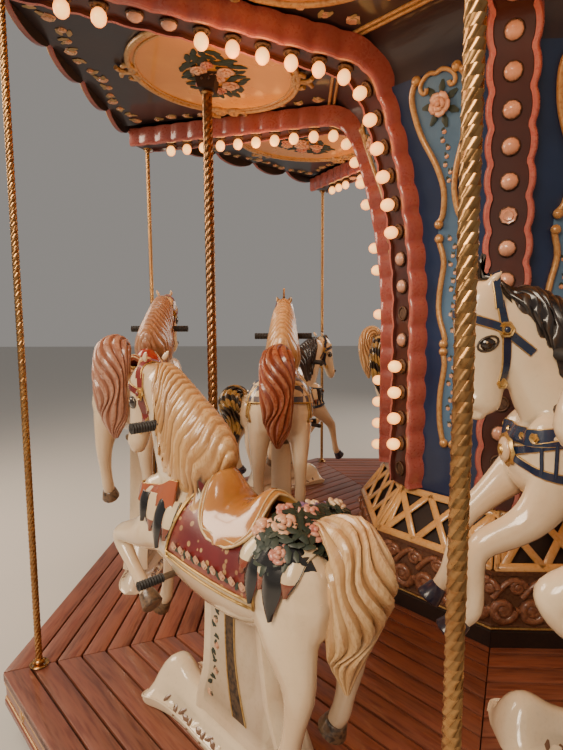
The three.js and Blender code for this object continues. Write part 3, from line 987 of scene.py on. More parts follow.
@dataclass
class Horse:
    """A galloping horse in its own frame: forwards +X, left +Y, up from the deck.

    The trunk, neck, head and legs are drawn as limbs and grown together. Mane, tail and tack are laid on
    the body.
    """

    kind: str = "single"
    bent: int = 1  # 1 for the left foreleg bent, -1 for the right one, 0 for neither
    tucked: bool = False  # whether the head is drawn in to the chest
    high_tail: bool = False
    swell: float = 1.05  # makes up for what rounding takes off a limb
    grain: float = 0.008  # size of the cells that the body is grown from
    faces: int = 6400  # triangles that are left of them
    mane_ridges: int = 17
    trunk_middle: float = 0.75  # height that rays round the trunk start from
    trunk: Sequence[Ring] = (
        (-0.455, 0, 0.775, 0.05, 0.055),
        (-0.40, 0, 0.765, 0.125, 0.12),
        (-0.31, 0, 0.745, 0.165, 0.158),
        (-0.18, 0, 0.715, 0.178, 0.170),
        (-0.02, 0, 0.695, 0.185, 0.172),
        (0.14, 0, 0.71, 0.19, 0.165),
        (0.29, 0, 0.745, 0.195, 0.152),
        (0.41, 0, 0.77, 0.155, 0.125),
        (0.485, 0, 0.78, 0.075, 0.07),
    )
    neck: Sequence[Ring] = (
        (0.20, 0, 0.85, 0.19, 0.12),
        (0.30, 0, 1.00, 0.205, 0.095),
        (0.385, 0, 1.12, 0.155, 0.078),
        (0.46, 0, 1.20, 0.115, 0.066),
        (0.54, 0, 1.265, 0.085, 0.055),
    )
    head: Sequence[Ring] = (
        (0.535, 0, 1.315, 0.045, 0.05),
        (0.575, 0, 1.25, 0.085, 0.068),
        (0.60, 0, 1.17, 0.088, 0.064),
        (0.635, 0, 1.09, 0.066, 0.05),
        (0.665, 0, 1.02, 0.052, 0.042),
        (0.69, 0, 0.965, 0.048, 0.042),
        (0.70, 0, 0.935, 0.03, 0.03),
    )
    tucked_head: Sequence[Ring] = (
        (0.560, 0, 1.335, 0.040, 0.045),
        (0.590, 0, 1.270, 0.088, 0.066),
        (0.588, 0, 1.180, 0.094, 0.068),
        (0.580, 0, 1.095, 0.086, 0.056),
        (0.574, 0, 1.030, 0.074, 0.047),
        (0.570, 0, 0.970, 0.062, 0.045),
        (0.567, 0, 0.920, 0.054, 0.044),
        (0.566, 0, 0.896, 0.036, 0.034),
    )
    ear: Sequence[Ring] = (
        (0.535, 0.040, 1.318, 0.022, 0.016),
        (0.515, 0.047, 1.345, 0.016, 0.012),
        (0.495, 0.050, 1.365, 0.004, 0.004),
    )
    hind_leg: Sequence[Ring] = (
        (-0.310, 0.090, 0.74, 0.140, 0.080),
        (-0.330, 0.100, 0.64, 0.112, 0.070),
        (-0.352, 0.105, 0.57, 0.088, 0.056),
        (-0.378, 0.108, 0.515, 0.064, 0.044),
        (-0.385, 0.108, 0.465, 0.050, 0.038),
        (-0.372, 0.110, 0.40, 0.037, 0.031),
        (-0.358, 0.110, 0.33, 0.031, 0.028),
        (-0.345, 0.110, 0.28, 0.036, 0.033),
        (-0.328, 0.110, 0.25, 0.030, 0.029),
    )
    hind_hoof: Sequence[Ring] = ((-0.330, 0.110, 0.252, 0.034, 0.033), (-0.308, 0.110, 0.20, 0.050, 0.044))
    bent_leg: Sequence[Ring] = (
        (0.34, 0.095, 0.76, 0.10, 0.05),
        (0.40, 0.095, 0.70, 0.085, 0.055),
        (0.50, 0.095, 0.655, 0.06, 0.048),
        (0.61, 0.095, 0.63, 0.045, 0.04),
        (0.69, 0.095, 0.60, 0.046, 0.042),
        (0.655, 0.095, 0.555, 0.036, 0.034),
        (0.59, 0.095, 0.505, 0.028, 0.027),
        (0.53, 0.095, 0.462, 0.027, 0.026),
        (0.50, 0.095, 0.44, 0.034, 0.031),
        (0.475, 0.095, 0.42, 0.028, 0.027),
    )
    bent_hoof: Sequence[Ring] = ((0.478, 0.095, 0.423, 0.032, 0.030), (0.425, 0.095, 0.385, 0.045, 0.040))
    long_leg: Sequence[Ring] = (
        (0.33, 0.095, 0.76, 0.10, 0.05),
        (0.40, 0.095, 0.69, 0.085, 0.055),
        (0.48, 0.095, 0.615, 0.06, 0.048),
        (0.55, 0.095, 0.55, 0.046, 0.04),
        (0.598, 0.095, 0.505, 0.045, 0.041),
        (0.61, 0.095, 0.45, 0.034, 0.032),
        (0.63, 0.095, 0.37, 0.027, 0.026),
        (0.645, 0.095, 0.30, 0.027, 0.026),
        (0.655, 0.095, 0.265, 0.034, 0.031),
        (0.675, 0.095, 0.24, 0.028, 0.027),
    )
    long_hoof: Sequence[Ring] = ((0.673, 0.095, 0.243, 0.032, 0.030), (0.715, 0.095, 0.19, 0.047, 0.042))
    poised_leg: Sequence[Ring] = (
        (0.33, 0.095, 0.76, 0.10, 0.05),
        (0.375, 0.095, 0.66, 0.088, 0.055),
        (0.43, 0.095, 0.565, 0.068, 0.050),
        (0.52, 0.095, 0.515, 0.054, 0.045),
        (0.60, 0.095, 0.485, 0.050, 0.043),
        (0.618, 0.095, 0.43, 0.038, 0.035),
        (0.608, 0.095, 0.35, 0.030, 0.029),
        (0.606, 0.095, 0.29, 0.030, 0.029),
        (0.615, 0.095, 0.25, 0.037, 0.034),
        (0.645, 0.095, 0.225, 0.030, 0.030),
    )
    poised_hoof: Sequence[Ring] = ((0.643, 0.095, 0.228, 0.034, 0.033), (0.700, 0.095, 0.175, 0.050, 0.045))
    low_tail: Sequence[tuple[float, float, float, float]] = (
        (-0.34, 0.87, 0.030, 0.030),
        (-0.40, 0.905, 0.050, 0.050),
        (-0.47, 0.895, 0.075, 0.075),
        (-0.50, 0.83, 0.098, 0.085),
        (-0.495, 0.75, 0.088, 0.082),
        (-0.465, 0.65, 0.070, 0.072),
        (-0.455, 0.56, 0.048, 0.050),
        (-0.46, 0.465, 0.008, 0.008),
    )
    raised_tail: Sequence[tuple[float, float, float, float]] = (
        (-0.35, 0.88, 0.030, 0.035),
        (-0.40, 0.97, 0.045, 0.055),
        (-0.455, 1.03, 0.055, 0.075),
        (-0.51, 1.015, 0.062, 0.085),
        (-0.54, 0.94, 0.070, 0.088),
        (-0.545, 0.85, 0.070, 0.085),
        (-0.53, 0.75, 0.062, 0.078),
        (-0.515, 0.66, 0.045, 0.058),
        (-0.505, 0.575, 0.010, 0.012),
    )
    slot_front: float = 0.17
    slot_back: float = -0.20
    slot_half: float = 0.072
    slot_top: float = 0.80
    handle: Point = (0.375, 1.10, 0.185)  # forward place, height and half length
    foot_bar: Point = (0.307, 0.553, 0.214)
    cloth_back: float = -0.245
    strap_wall: float = 0.007
    edge_cord: float = 0.0055  # half the width of the cords round the cloths
    hide: Piece | None = None
    tack: dict[str, Piece] = field(default_factory=dict)

    def model(self) -> None:
        """Build the body and the tack on it."""
        self.hide = self.body()
        self.tack = {
            "mane": self.mane(),
            "tail": self.tail(),
            "saddle": self.saddle(),
            "cloth": self.cloth(),
            "tassels": self.tassels(),
            "garland": self.garland(),
            "bridle": self.bridle(),
            "collar": self.collar(),
            "breast_band": self.breast_band(),
            "rump_cloth": self.rump_cloth(),
            "bars": self.bars(),
        }

    def sided(self, rings: Sequence[Ring], side: int) -> list[Ring]:
        """Return rings moved to one side and swollen."""
        return [(x, y * side, z, depth * self.swell, width * self.swell) for x, y, z, depth, width in rings]

    def face(self, x: float, z: float) -> Pair:
        """Return where a place on the outstretched head lies on this horse's head."""
        if not self.tucked:
            return (x, z)
        share = min(max((1.30 - z) / 0.36, 0.0), 1.0)
        return (x - 0.11 * share**1.3 + 0.012, z - 0.045 * share - 0.006)

    def body(self) -> Piece:
        """Grow the body, with its hooves and eyes, the lining of the belly's slot and the nostrils in painted
        shade, and a painted glint on each eye.
        """
        head = self.tucked_head if self.tucked else self.head
        parts = [limb(self.sided(rings, 1), 10, 2) for rings in (self.trunk, self.neck, head)]
        for side in (1, -1):
            for rings, hoof in ((self.hind_leg, self.hind_hoof), self.forelegs(side)):
                x, y, z, *radii = (a + 0.5 * (b - a) for a, b in zip(*hoof))
                inside = (x, y, z, *(0.8 * radius for radius in radii))
                parts.append(limb(self.sided((*rings, inside), side), 10, 2))
            ears = [(x + (0.045 if self.tucked else 0.0), *rest) for x, *rest in self.ear]
            parts.append(limb(self.sided(ears, side), 8, 2))
            parts.append(blob((-0.325, 0.075 * side, 0.735), (0.145, 0.098, 0.170)))
            parts.append(blob((0.36, 0.085 * side, 0.76), (0.10, 0.06, 0.16), 0.4))
            x, z = self.face(0.588, 1.185)
            parts.append(blob((x, 0.034 * side, z), (0.062, 0.034, 0.068)))
            x, z = self.face(0.606, 1.245)
            parts.append(blob((x, 0.046 * side, z), (0.026, 0.02, 0.022)))
            x, z = self.face(0.683, 0.985)
            parts.append(blob((x, 0.024 * side, z), (0.034, 0.024, 0.028)))
        x, z = self.face(0.645, 1.10)
        parts.append(blob((x, 0, z), (0.022, 0.03, 0.12), -0.10 if self.tucked else -0.28))
        x, z = self.face(0.688, 0.942)
        parts.append(blob((x, 0, z), (0.03, 0.034, 0.02)))
        horse = join(f"horse_body_{self.kind}", parts)
        modify(horse, "REMESH", mode="VOXEL", voxel_size=self.grain)
        modify(horse, "SMOOTH", factor=0.5, iterations=8)
        count = sum(len(face.vertices) - 2 for face in horse.data.polygons)
        modify(horse, "DECIMATE", ratio=self.faces / count)
        self.hollow(horse)
        smooth(horse, 50)
        wear(horse, HIDE)
        # Painted shade: the faces that line the belly's slot are painted near-black.
        paint(horse, PAINTED_SHADE, self.in_hollow)
        self.hide = horse
        extras = [horse]
        for side in (1, -1):
            for rings in (self.hind_hoof, self.forelegs(side)[1]):
                hoof = limb(self.sided(rings, side), 12, 0)
                modify(hoof, "BEVEL", width=0.006, segments=1, limit_method="ANGLE")
                extras.append(wear(smooth(hoof), HOOF))
            x, z = self.face(0.606, 1.155)
            _, y, _ = self.flank(x, z, side)
            extras.append(wear(blob((x, y - 0.004 * side, z), (0.026, 0.014, 0.023), 0.35), EYE))
            lids = [(0.031 * cos(tau * k / 14), 0.023 * sin(tau * k / 14)) for k in range(14)]
            rim = [self.flank(x + a, z + b - 0.25 * a, side, 0.001) for a, b in lids]
            extras.append(moulding(rim, 0.0045, HAIR_DARK, closed=True))
            # Painted highlight: a small pale dot on the eye as its glint.
            extras.append(
                wear(blob((x + 0.007, y + 0.0085 * side, z + 0.005), (0.004, 0.002, 0.004)), STRIP)
            )
            # The nostrils: sunk near-black blobs of painted shade.
            x, z = self.face(0.702, 0.992)
            extras.append(wear(blob((x, 0.0385 * side, z), (0.011, 0.008, 0.014), 0.5), PAINTED_SHADE))
        return join(horse.name, extras)

    def forelegs(self, side: int) -> tuple[Sequence[Ring], Sequence[Ring]]:
        """Return the rings of the foreleg and its hoof on one side."""
        if self.tucked and side == 1:
            return self.poised_leg, self.poised_hoof
        return (self.bent_leg, self.bent_hoof) if side == self.bent else (self.long_leg, self.long_hoof)

    def hollow(self, horse: Piece) -> None:
        """Cut the slot for the pedestal's column out of the belly."""
        fresh()
        bpy.ops.mesh.primitive_cube_add(size=1)
        cutter = bpy.context.object
        cutter.scale = (self.slot_front - self.slot_back, 2 * self.slot_half, self.slot_top - 0.4)
        cutter.location = ((self.slot_front + self.slot_back) / 2, 0, (self.slot_top + 0.4) / 2)
        settle(cutter, "hollow_cutter")
        modify(horse, "BOOLEAN", operation="DIFFERENCE", object=cutter, solver="EXACT")
        bpy.data.objects.remove(cutter)

    def in_hollow(self, face: bpy.types.MeshPolygon) -> bool:
        """Tell whether a face lines the slot in the belly."""
        x, y, z = face.center
        along = self.slot_back - 0.001 < x < self.slot_front + 0.001
        return along and abs(y) < self.slot_half + 0.001 and z < self.slot_top + 0.001

    def flank(self, x: float, z: float, side: int = 1, proud: float = 0.0) -> Point:
        """Return the point on the body's side at a place forwards and a height.

        Args:
            x: place forwards.
            z: height.
            side: 1 for the left, -1 for the right.
            proud: how far outside the skin.
        """
        hit, place, _, _ = self.hide.ray_cast((x, side, z), (0, -side, 0))
        if not hit or place.y * side < 0:
            _, place, _, _ = self.hide.closest_point_on_mesh((x, 0.05 * side, z))
        return (x, place.y + side * proud, z)

    def skin(
        self,
        start: Vector,
        out: Vector,
        proud: float,
        away: float = 1.0,
        spare: float = 0.15,
        limit: float = 1.0,
    ) -> Point:
        """Return the point on the skin that lies in a direction from a place inside.

        Args:
            start: the place inside.
            out: the direction, one long.
            proud: how far outside the skin.
            away: how far out the ray starts that looks back for the skin.
            spare: the distance taken where it finds none.
            limit: the largest distance taken.
        """
        hit, place, _, _ = self.hide.ray_cast(start + out * away, -out)
        reach = min((place - start).length if hit else spare, limit)
        return tuple(start + out * (reach + proud))

    def wrap(self, x: float, angle: float, proud: float = 0.0) -> Point:
        """Return the point where a ray round the trunk meets the skin.

        Args:
            x: place forwards.
            angle: degrees from straight up, positive to the left.
            proud: how far outside the skin.
        """
        turn = radians(angle)
        return self.skin(Vector((x, 0, self.trunk_middle)), Vector((0, sin(turn), cos(turn))), proud)

    def drape(
        self, rows: Sequence[Row], columns: int, proud: float, wall: float, bow: float = 0.0
    ) -> Piece:
        """Lay a plate over the trunk.

        Args:
            rows: angle from straight up and the front and back ends of the plate there.
            columns: faces from front to back.
            proud: how far its inside stands off the skin.
            wall: its thickness.
            bow: how far the middle rises over the ends.

        Returns:
            The plate.
        """
        count = len(rows) - 1

        def lay(u: float, v: float) -> Point:
            """Return a point of the plate's inside."""
            along = (u + 1) / 2
            angle, front, back = rows[round((v + 1) / 2 * count)]
            return self.wrap(front + (back - front) * along, angle, proud + bow * sin(pi * along))

        plate = sheet_of(columns, count, lay)
        modify(plate, "SOLIDIFY", thickness=wall, offset=1.0)
        edit(plate)
        face_outwards()
        return smooth(plate, 50)

    def from_neck(self, share: float, angle: float, proud: float) -> Point:
        """Return the point on the skin seen from the neck's middle line.

        Args:
            share: place up the line, 0 at the withers and 1 at the poll.
            angle: turn from the crest, positive to the left.
            proud: how far outside the skin.
        """
        place = share * (len(self.neck) - 1)
        i = min(max(int(place), 0), len(self.neck) - 2)
        low, high = (Vector((ring[0], 0, ring[2])) for ring in self.neck[i : i + 2])
        start = low + (high - low) * (place - i)
        lean = radians(58 - 20 * share)
        out = Vector((-sin(lean) * cos(angle), sin(angle), cos(lean) * cos(angle)))
        return self.skin(start, out, proud, 0.45, 0.1, 0.26 - 0.140 * share)

    def on_mane(self, along: float, across: float) -> Point:
        """Return a point of the mane's outside.

        Args:
            along: -1 at the withers and 1 at the poll.
            across: -1 at the tips on the right and 1 at those on the left.
        """
        crest = (along + 1) / 2
        fall = abs(across)
        phase = crest * self.mane_ridges
        bulge = abs(sin(pi * phase)) ** 0.6
        reach = 24 + 92 * min(crest / 0.5, 1.0) - 20 * max(crest - 0.75, 0) / 0.25
        reach -= 40 * max(crest - 0.6, 0) if self.tucked else 0
        reach *= 0.86 + 0.09 * bulge + 0.05 * sin(2.4 * int(phase + 0.001))
        sway = 0.026 * sin(3.4 * pi * fall + 8.0 * crest) * min(2 * fall, 1.0)
        sweep = fall * (0.18 + 0.32 * crest)
        sweep -= 0.60 * fall * max(crest - 0.65, 0) if self.tucked else 0
        share = (crest - sweep + sway) * (1.30 if self.tucked else 1.06)
        crown = 0.055 * exp(-(((crest - 0.08) / 0.26) ** 2)) * max(1 - fall, 0.0) ** 1.3
        lift = 0.003 + 0.008 * (1 - fall) + crown + 0.0105 * bulge * (1 - 0.7 * fall**6)
        return self.from_neck(share, radians(reach) * across, lift)

    def mane(self) -> Piece:
        """Build the carved mane, one sheet of wavy ridges that falls to both sides, and the forelock."""
        sheet = sheet_of(4 * self.mane_ridges, 17, self.on_mane)
        modify(sheet, "SOLIDIFY", thickness=0.014, offset=-1.0)
        locks = [wear(smooth(tidy(sheet), 75), MANE)]
        for side in (0.5, -0.6, 0.1):
            rings = []
            for j in range(6):
                down = j / 5
                x, z = self.face(0.575 + 0.055 * sin(1.5 * down) + 0.020, 1.335 - 0.145 * down)
                x += 0.02 if self.tucked else 0.0
                rings.append((x, side * (0.012 + 0.035 * down), z, 0.014, 0.024 * (1.1 - down)))
            locks.append(wear(smooth(limb(rings, 10, 1, flute=0.25), 60), MANE))
        return join("mane", locks)

    def tail(self) -> Piece:
        """Build the tail: one mass of wavy ridges that arches out of the rump and falls to the hocks."""
        path = flowing(self.raised_tail if self.high_tail else self.low_tail, 4)
        ridges = 13
        last = len(path) - 1
        sections = []
        for i, (x, z, deep, wide) in enumerate(path):
            before, after = path[max(i - 1, 0)], path[min(i + 1, last)]
            ahead = Vector((after[0] - before[0], 0, after[1] - before[1])).normalized()
            back = Vector((ahead.z, 0, -ahead.x))
            share = i / last
            section = []
            for j in range(4 * ridges):
                angle = tau * j / (4 * ridges)
                bulge = abs(sin(ridges * angle / 2)) ** 0.6
                curl = angle + 0.55 * sin(3.2 * pi * share + 1.0) + 0.22 * sin(6.0 * pi * share + 2 * angle)
                size = 0.80 + 0.20 * bulge + 0.05 * sin(3 * angle + 4 * share)
                section.append(
                    tuple(Vector((x, wide * size * cos(curl), z)) + back * (deep * size * sin(curl)))
                )
            sections.append(section)
        return smooth(join("tail", [loft(sections, [TAIL])]), 75)

    def on_saddle(self, along: float, across: float, proud: float) -> Vector:
        """Return a point of the saddle.

        Args:
            along: -1 at its back edge and 1 at its front edge.
            across: -1 at the bottom of the right flap and 1 at that of the left one.
            proud: how far outside its padding.
        """
        share = abs(across)
        half = 0.152 * sqrt(max(1 - 0.97 * (max(share - 0.30, 0) / 0.70) ** 2.2, 0.0))
        x = -0.040 - 0.035 * share + half * along
        seat = max(1 - (share / 0.62) ** 2, 0.0) ** 1.4
        rise = 0.090 * exp(-(((x - 0.068) / 0.046) ** 2)) + 0.062 * exp(-(((x + 0.160) / 0.060) ** 2))
        skin = Vector(self.wrap(x, 68 * across, 0.017 + 0.007 * (1 - along**2) + proud))
        return skin + Vector((0, 0, rise * seat))

    def saddle(self) -> Piece:
        """Build the saddle: a high pommel, a low cantle, and a pale double line along its edge."""
        sheet = sheet_of(14, 32, lambda along, across: self.on_saddle(along, across, 0.0))
        modify(sheet, "SOLIDIFY", thickness=0.020, offset=-1.0)
        modify(sheet, "BEVEL", width=0.005, segments=1, limit_method="ANGLE")
        parts = [wear(smooth(tidy(sheet), 60), SADDLE)]
        for inset, thick in ((0.02, 0.0050), (0.13, 0.0032)):
            edge = 1 - inset
            run = [-edge + 2 * edge * i / 30 for i in range(31)]
            loop = [tuple(self.on_saddle(edge, across, 0.001)) for across in run]
            loop += [tuple(self.on_saddle(-edge, across, 0.001)) for across in reversed(run)]
            parts.append(moulding(loop, thick, RIM, closed=True))
        return join("saddle", parts)

    def cloth_rows(self, reach: float, grow: float = 0.0) -> list[Row]:
        """Return the rows of a saddle cloth that reaches a number of degrees down each side."""
        rows = []
        for i in range(25):
            angle = -reach + 2 * reach * i / 24
            low = (abs(angle) / reach) ** 3
            rows.append((angle, 0.150 + 0.045 * low + grow, self.cloth_back - grow))
        return rows

    def cloth(self) -> Piece:
        """Build the cloth under the saddle, with a cream strip, a patterned border and gold cord edges."""
        under = wear(self.drape(self.cloth_rows(112, 0.012), 9, 0.002, 0.004), STRIP)
        over = wear(self.drape(self.cloth_rows(104), 9, 0.006, 0.004), CLOTH)
        parts = [under, over]
        for rows, proud in ((self.cloth_rows(112, 0.012), 0.006), (self.cloth_rows(104), 0.010)):
            loop = [self.wrap(front, angle, proud) for angle, front, _ in rows]
            angle, front, back = rows[-1]
            loop += [self.wrap(front + (back - front) * i / 8, angle, proud) for i in range(1, 8)]
            loop += [self.wrap(back, angle, proud) for angle, _, back in reversed(rows)]
            angle, front, back = rows[0]
            loop += [self.wrap(back + (front - back) * i / 8, angle, proud) for i in range(1, 8)]
            parts.append(moulding(loop, self.edge_cord, TRIM, closed=True))
        for side in (1, -1):
            for i in range(9):
                x = 0.135 - 0.045 * i
                flower = rosette(self.wrap(x, 92 * side, 0.0125), (0, side, -0.15), 0.015, 0.006, 4)
                parts.append(wear(flower, BLOSSOM))
                x -= 0.022
                parts.append(wear(leaf(self.wrap(x, 94 * side, 0.011), (0, side, 0), 0.017, 0.4 + i), LEAF))
        return join("cloth", parts)

    def tassels(self) -> Piece:
        """Build the pointed flaps that hang before and behind the saddle cloth."""
        plan = (
            (0.372, 0.760, 0.024, True),
            (0.325, 0.735, 0.033, False),
            (0.264, 0.695, 0.030, True),
            (0.205, 0.740, 0.032, False),
            (-0.210, 0.780, 0.030, False),
            (-0.256, 0.712, 0.029, True),
            (-0.300, 0.770, 0.027, False),
            (-0.345, 0.700, 0.031, True),
            (-0.388, 0.775, 0.024, False),
        )
        parts = []
        for x, tip, half, dark in plan:
            for side in (1, -1):
                parts += self.tassel(x, tip, half, dark, side)
        return join("tassels", parts)

    def tassel(self, x: float, tip: float, half: float, dark: bool, side: int) -> list[Piece]:
        """Hang one pointed flap.

        Args:
            x: place forwards.
            tip: height of its lower end.
            half: half its width.
            dark: whether it is one of the black ones.
            side: 1 for the left, -1 for the right.

        Returns:
            The flap and its outline.
        """
        start = self.wrap(x, 30)[2] if x < 0 else 0.865
        last = 9
        rows = []
        for i in range(last + 1):
            share = i / last
            spread = half * (0.80 + 0.20 * sin(pi * share)) * (1 - max((share - 0.55) / 0.45, 0) ** 1.7)
            rows.append((start + (tip - start) * share, max(spread, 0.002)))

        def lay(u: float, v: float) -> Point:
            """Return a point of the flap's middle."""
            z, spread = rows[round((v + 1) / 2 * last)]
            return self.flank(
                x + spread * u, z, side, 0.007 + 0.009 * (1 - u**2) + (0.004 if dark else 0.0)
            )

        flap = sheet_of(4, last, lay)
        modify(flap, "SOLIDIFY", thickness=self.strap_wall, offset=0)
        wear(tidy(flap), TASSEL_DARK if dark else TASSEL)
        if not dark:
            paint(flap, TASSEL_TIP, lambda face: face.center.z < start + (tip - start) * 0.66)
        edge = [self.flank(x + spread, z, side, 0.011) for z, spread in rows]
        edge += [self.flank(x - spread, z, side, 0.011) for z, spread in reversed(rows)]
        return [smooth(flap, 50), moulding(edge, 0.0028, STRAP if dark else TASSEL_DARK)]

    def garland(self) -> Piece:
        """Lay roses and leaves over the rump."""
        parts = []
        rows = [(-62 + 124 * i / 16, -0.225, -0.410 + 0.022 * cos(i * pi / 2)) for i in range(17)]
        parts.append(wear(self.drape(rows, 10, 0.003, 0.010, 0.030), TASSEL_DARK))
        dice = random.Random(4)
        leaves = 200
        for i in range(leaves):
            turn = i * GOLDEN_TURN
            out = sqrt((i + 0.5) / leaves)
            x = -0.318 + 0.108 * cos(turn) * out
            angle = 66 * sin(turn) * out
            place = self.wrap(x, angle, 0.012 + 0.036 * (1 - out * out) + 0.008 * dice.random())
            facing = Vector(place) - Vector((x * 0.8, 0, 0.72)) + Vector((0.1 * dice.random() - 0.05, 0, 0))
            finish = VIOLET if i % 13 == 0 else LEAF
            parts.append(
                wear(leaf(place, tuple(facing), 0.018 + 0.010 * dice.random(), dice.random() * tau), finish)
            )
        roses = (
            (-0.255, 10, 0.034),
            (-0.262, 38, 0.036),
            (-0.262, -24, 0.034),
            (-0.318, 0, 0.040),
            (-0.322, 30, 0.036),
        )
        roses += (
            (-0.322, -32, 0.036),
            (-0.378, 16, 0.034),
            (-0.380, -14, 0.032),
            (-0.275, -52, 0.028),
            (-0.352, 50, 0.030),
        )
        for k, (x, angle, size) in enumerate(roses):
            place = self.wrap(x, angle, 0.030 if abs(angle) < 40 else 0.018)
            facing = (Vector(place) - Vector((x * 0.75, 0, 0.72))).normalized()
            parts.append(
                wear(
                    rose(place, tuple(facing), size * 1.05, size * 0.90),
                    (ROSE, ROSE_PALE, ROSE_CREAM)[k % 3],
                )
            )
        return join("garland", parts)

    def ribbon(self, path: Sequence[Pair], side: int, half: float) -> list[Piece]:
        """Lay a flat strap with gold edges along a line of places forwards and heights on one side."""
        line = flowing(path, 3)
        last = len(line) - 1
        edges: list[list[Point]] = [[], []]
        for i in range(last + 1):
            a, b = line[max(i - 1, 0)], line[min(i + 1, last)]
            across = Vector((a[1] - b[1], b[0] - a[0])).normalized() * half
            for edge, sign in zip(edges, (1, -1)):
                edge.append(
                    self.flank(line[i][0] + sign * across.x, line[i][1] + sign * across.y, side, 0.003)
                )
        return self.strap(edges[0], edges[1])

    def strap(self, high: Sequence[Point], low: Sequence[Point]) -> list[Piece]:
        """Stretch a strap between two lines and run a gold cord along each."""
        count = len(high) - 1
        sheet = sheet_of(count, 1, lambda u, v: (high if v > 0 else low)[round((u + 1) / 2 * count)])
        modify(sheet, "SOLIDIFY", thickness=self.strap_wall, offset=0)
        cords = [moulding(edge, 0.0035, TRIM) for edge in (high, low)]
        return [wear(smooth(tidy(sheet)), STRAP), *cords]

    def band(
        self, centre: Pair, axis: Point, half: float, first: float, last: float
    ) -> list[Piece]:
        """Lay a strap over the head from one side to the other.

        Args:
            centre: place forwards and height of a point inside, in the strap's plane.
            axis: the direction that the strap is threaded on.
            half: half its width.
            first: angle that it starts from, in degrees from the left side.
            last: angle that it ends at.

        Returns:
            The strap and its two gold edges.
        """
        line = Vector(axis).normalized()
        side = Vector((0, 1, 0))
        up = line.cross(side).normalized()
        loops: list[list[Point]] = [[], []]
        count = 16
        for i in range(count + 1):
            turn = radians(first + (last - first) * i / count)
            out = side * cos(turn) + up * sin(turn)
            for loop, shift in zip(loops, (-half, half)):
                start = Vector((centre[0], 0, centre[1])) + line * shift
                loop.append(self.skin(start, out, 0.004, 0.3, 0.06, 0.28))
        return self.strap(loops[0], loops[1])

    def bridle(self) -> Piece:
        """Build the bridle: brow band and crown, and cheek and throat straps from a joint at each side."""
        parts = self.band(self.face(0.605, 1.217), (-0.30, 0, 0.95), 0.012, 168, 372)
        parts += self.band(self.face(0.548, 1.255), (1, 0, -0.1), 0.012, 0, 180)
        joint = (0.540, 1.195)
        for side in (1, -1):
            straps = (
                (joint, (0.572, 1.207), (0.606, 1.217)),
                (joint, (0.540, 1.230), (0.542, 1.275)),
                (joint, (0.545, 1.150), (0.560, 1.090), (0.585, 1.045)),
                (joint, (0.510, 1.165), (0.475, 1.130)),
            )
            for path in straps:
                parts += self.ribbon([self.face(x, z) for x, z in path], side, 0.012)
            place = self.flank(*self.face(*joint), side, 0.008)
            parts.append(wear(rosette(place, (0, side, 0.1), 0.027, 0.012, 6), TRIM))
            parts.append(
                wear(blob((place[0], place[1] + 0.011 * side, place[2]), (0.010, 0.006, 0.010)), STRAP)
            )
            buckle = self.flank(*self.face(0.588, 1.040), side, 0.006)
            parts.append(wear(rosette(buckle, (0, side, 0.1), 0.018, 0.008, 6), TRIM))
        return join("bridle", parts)

    def collar(self) -> Piece:
        """Build the breast plate: a band above, two that part round a row of bars, and a medallion."""
        parts = []
        runs = (
            lambda front: (0.918 - 0.062 * front, 0.842 - 0.034 * front),
            lambda front: (0.782 + self.parting(front), 0.758 + self.parting(front)),
            lambda front: (0.782 - self.parting(front), 0.758 - self.parting(front)),
        )
        count = 28
        for run in runs:
            edges: list[list[Point]] = [[], []]
            for i in range(count + 1):
                turn = radians(-104 + 208 * i / count)
                for edge, height in zip(edges, run(max(cos(turn), 0.0))):
                    edge.append(self.on_chest(turn, height, 0.005))
            parts += self.strap(edges[0], edges[1])
        for side in (1, -1):
            for i in range(3):
                turn = radians(side * (34 + 9 * i))
                part = self.parting(cos(turn))
                line = [self.on_chest(turn, 0.770 + part * (k / 2 - 1), 0.004) for k in range(5)]
                parts.append(moulding(line, 0.0065, STRAP))
            for i in range(6):
                turn = radians(side * (14 + 15 * i))
                front = cos(turn)
                out = (cos(turn), sin(turn), 0)
                stud = self.on_chest(turn, 0.880 - 0.048 * front, 0.008)
                parts.append(wear(rosette(stud, out, 0.017 if i % 2 else 0.012, 0.008, 6), TRIM))
        front = self.on_chest(0.0, 0.775, 0.004)
        parts.append(wear(rosette(front, (1, 0, -0.1), 0.056, 0.020, 8), TRIM))
        parts.append(wear(blob((front[0] + 0.012, 0, front[2]), (0.014, 0.043, 0.043)), ROSE_CREAM))
        parts.append(wear(rosette((front[0] + 0.024, 0, front[2]), (1, 0, 0), 0.020, 0.006, 6), TRIM))
        return join("collar", parts)

    def parting(self, front: float) -> float:
        """Return how far the collar's thin bands lie from their middle, by the cosine of the turn."""
        return 0.060 * (4 * front * (1 - front)) ** 0.6

    def breast_band(self) -> Piece:
        """Build the plain wide band that the front flaps hang from."""
        edges: list[list[Point]] = [[], []]
        for i in range(31):
            turn = radians(-108 + 216 * i / 30)
            front = max(cos(turn), 0.0)
            for edge, height in zip(edges, (0.930 - 0.060 * front, 0.838 - 0.024 * front)):
                edge.append(self.on_chest(turn, height, 0.012))
        sheet, *cords = self.strap(edges[0], edges[1])
        return join("breast_band", [wear(sheet, BREAST), *cords])

    def rump_cloth(self) -> Piece:
        """Lay a checked cloth over the croup, edged with a gold cord."""
        sheet = sheet_of(14, 20, lambda back, across: self.on_rump(back, across, 0.008))
        edge = []
        modify(sheet, "SOLIDIFY", thickness=self.strap_wall, offset=0)
        for start, step in (((-1, -1), (1, 0)), ((1, -1), (0, 1)), ((1, 1), (-1, 0)), ((-1, 1), (0, -1))):
            edge += [
                self.on_rump(start[0] + step[0] * k / 8, start[1] + step[1] * k / 8, 0.010)
                for k in range(16)
            ]
        return join(
            "rump_cloth",
            [
                wear(smooth(tidy(sheet), 50), CHECKED_CLOTH),
                moulding(edge, self.edge_cord, TRIM, closed=True),
            ],
        )

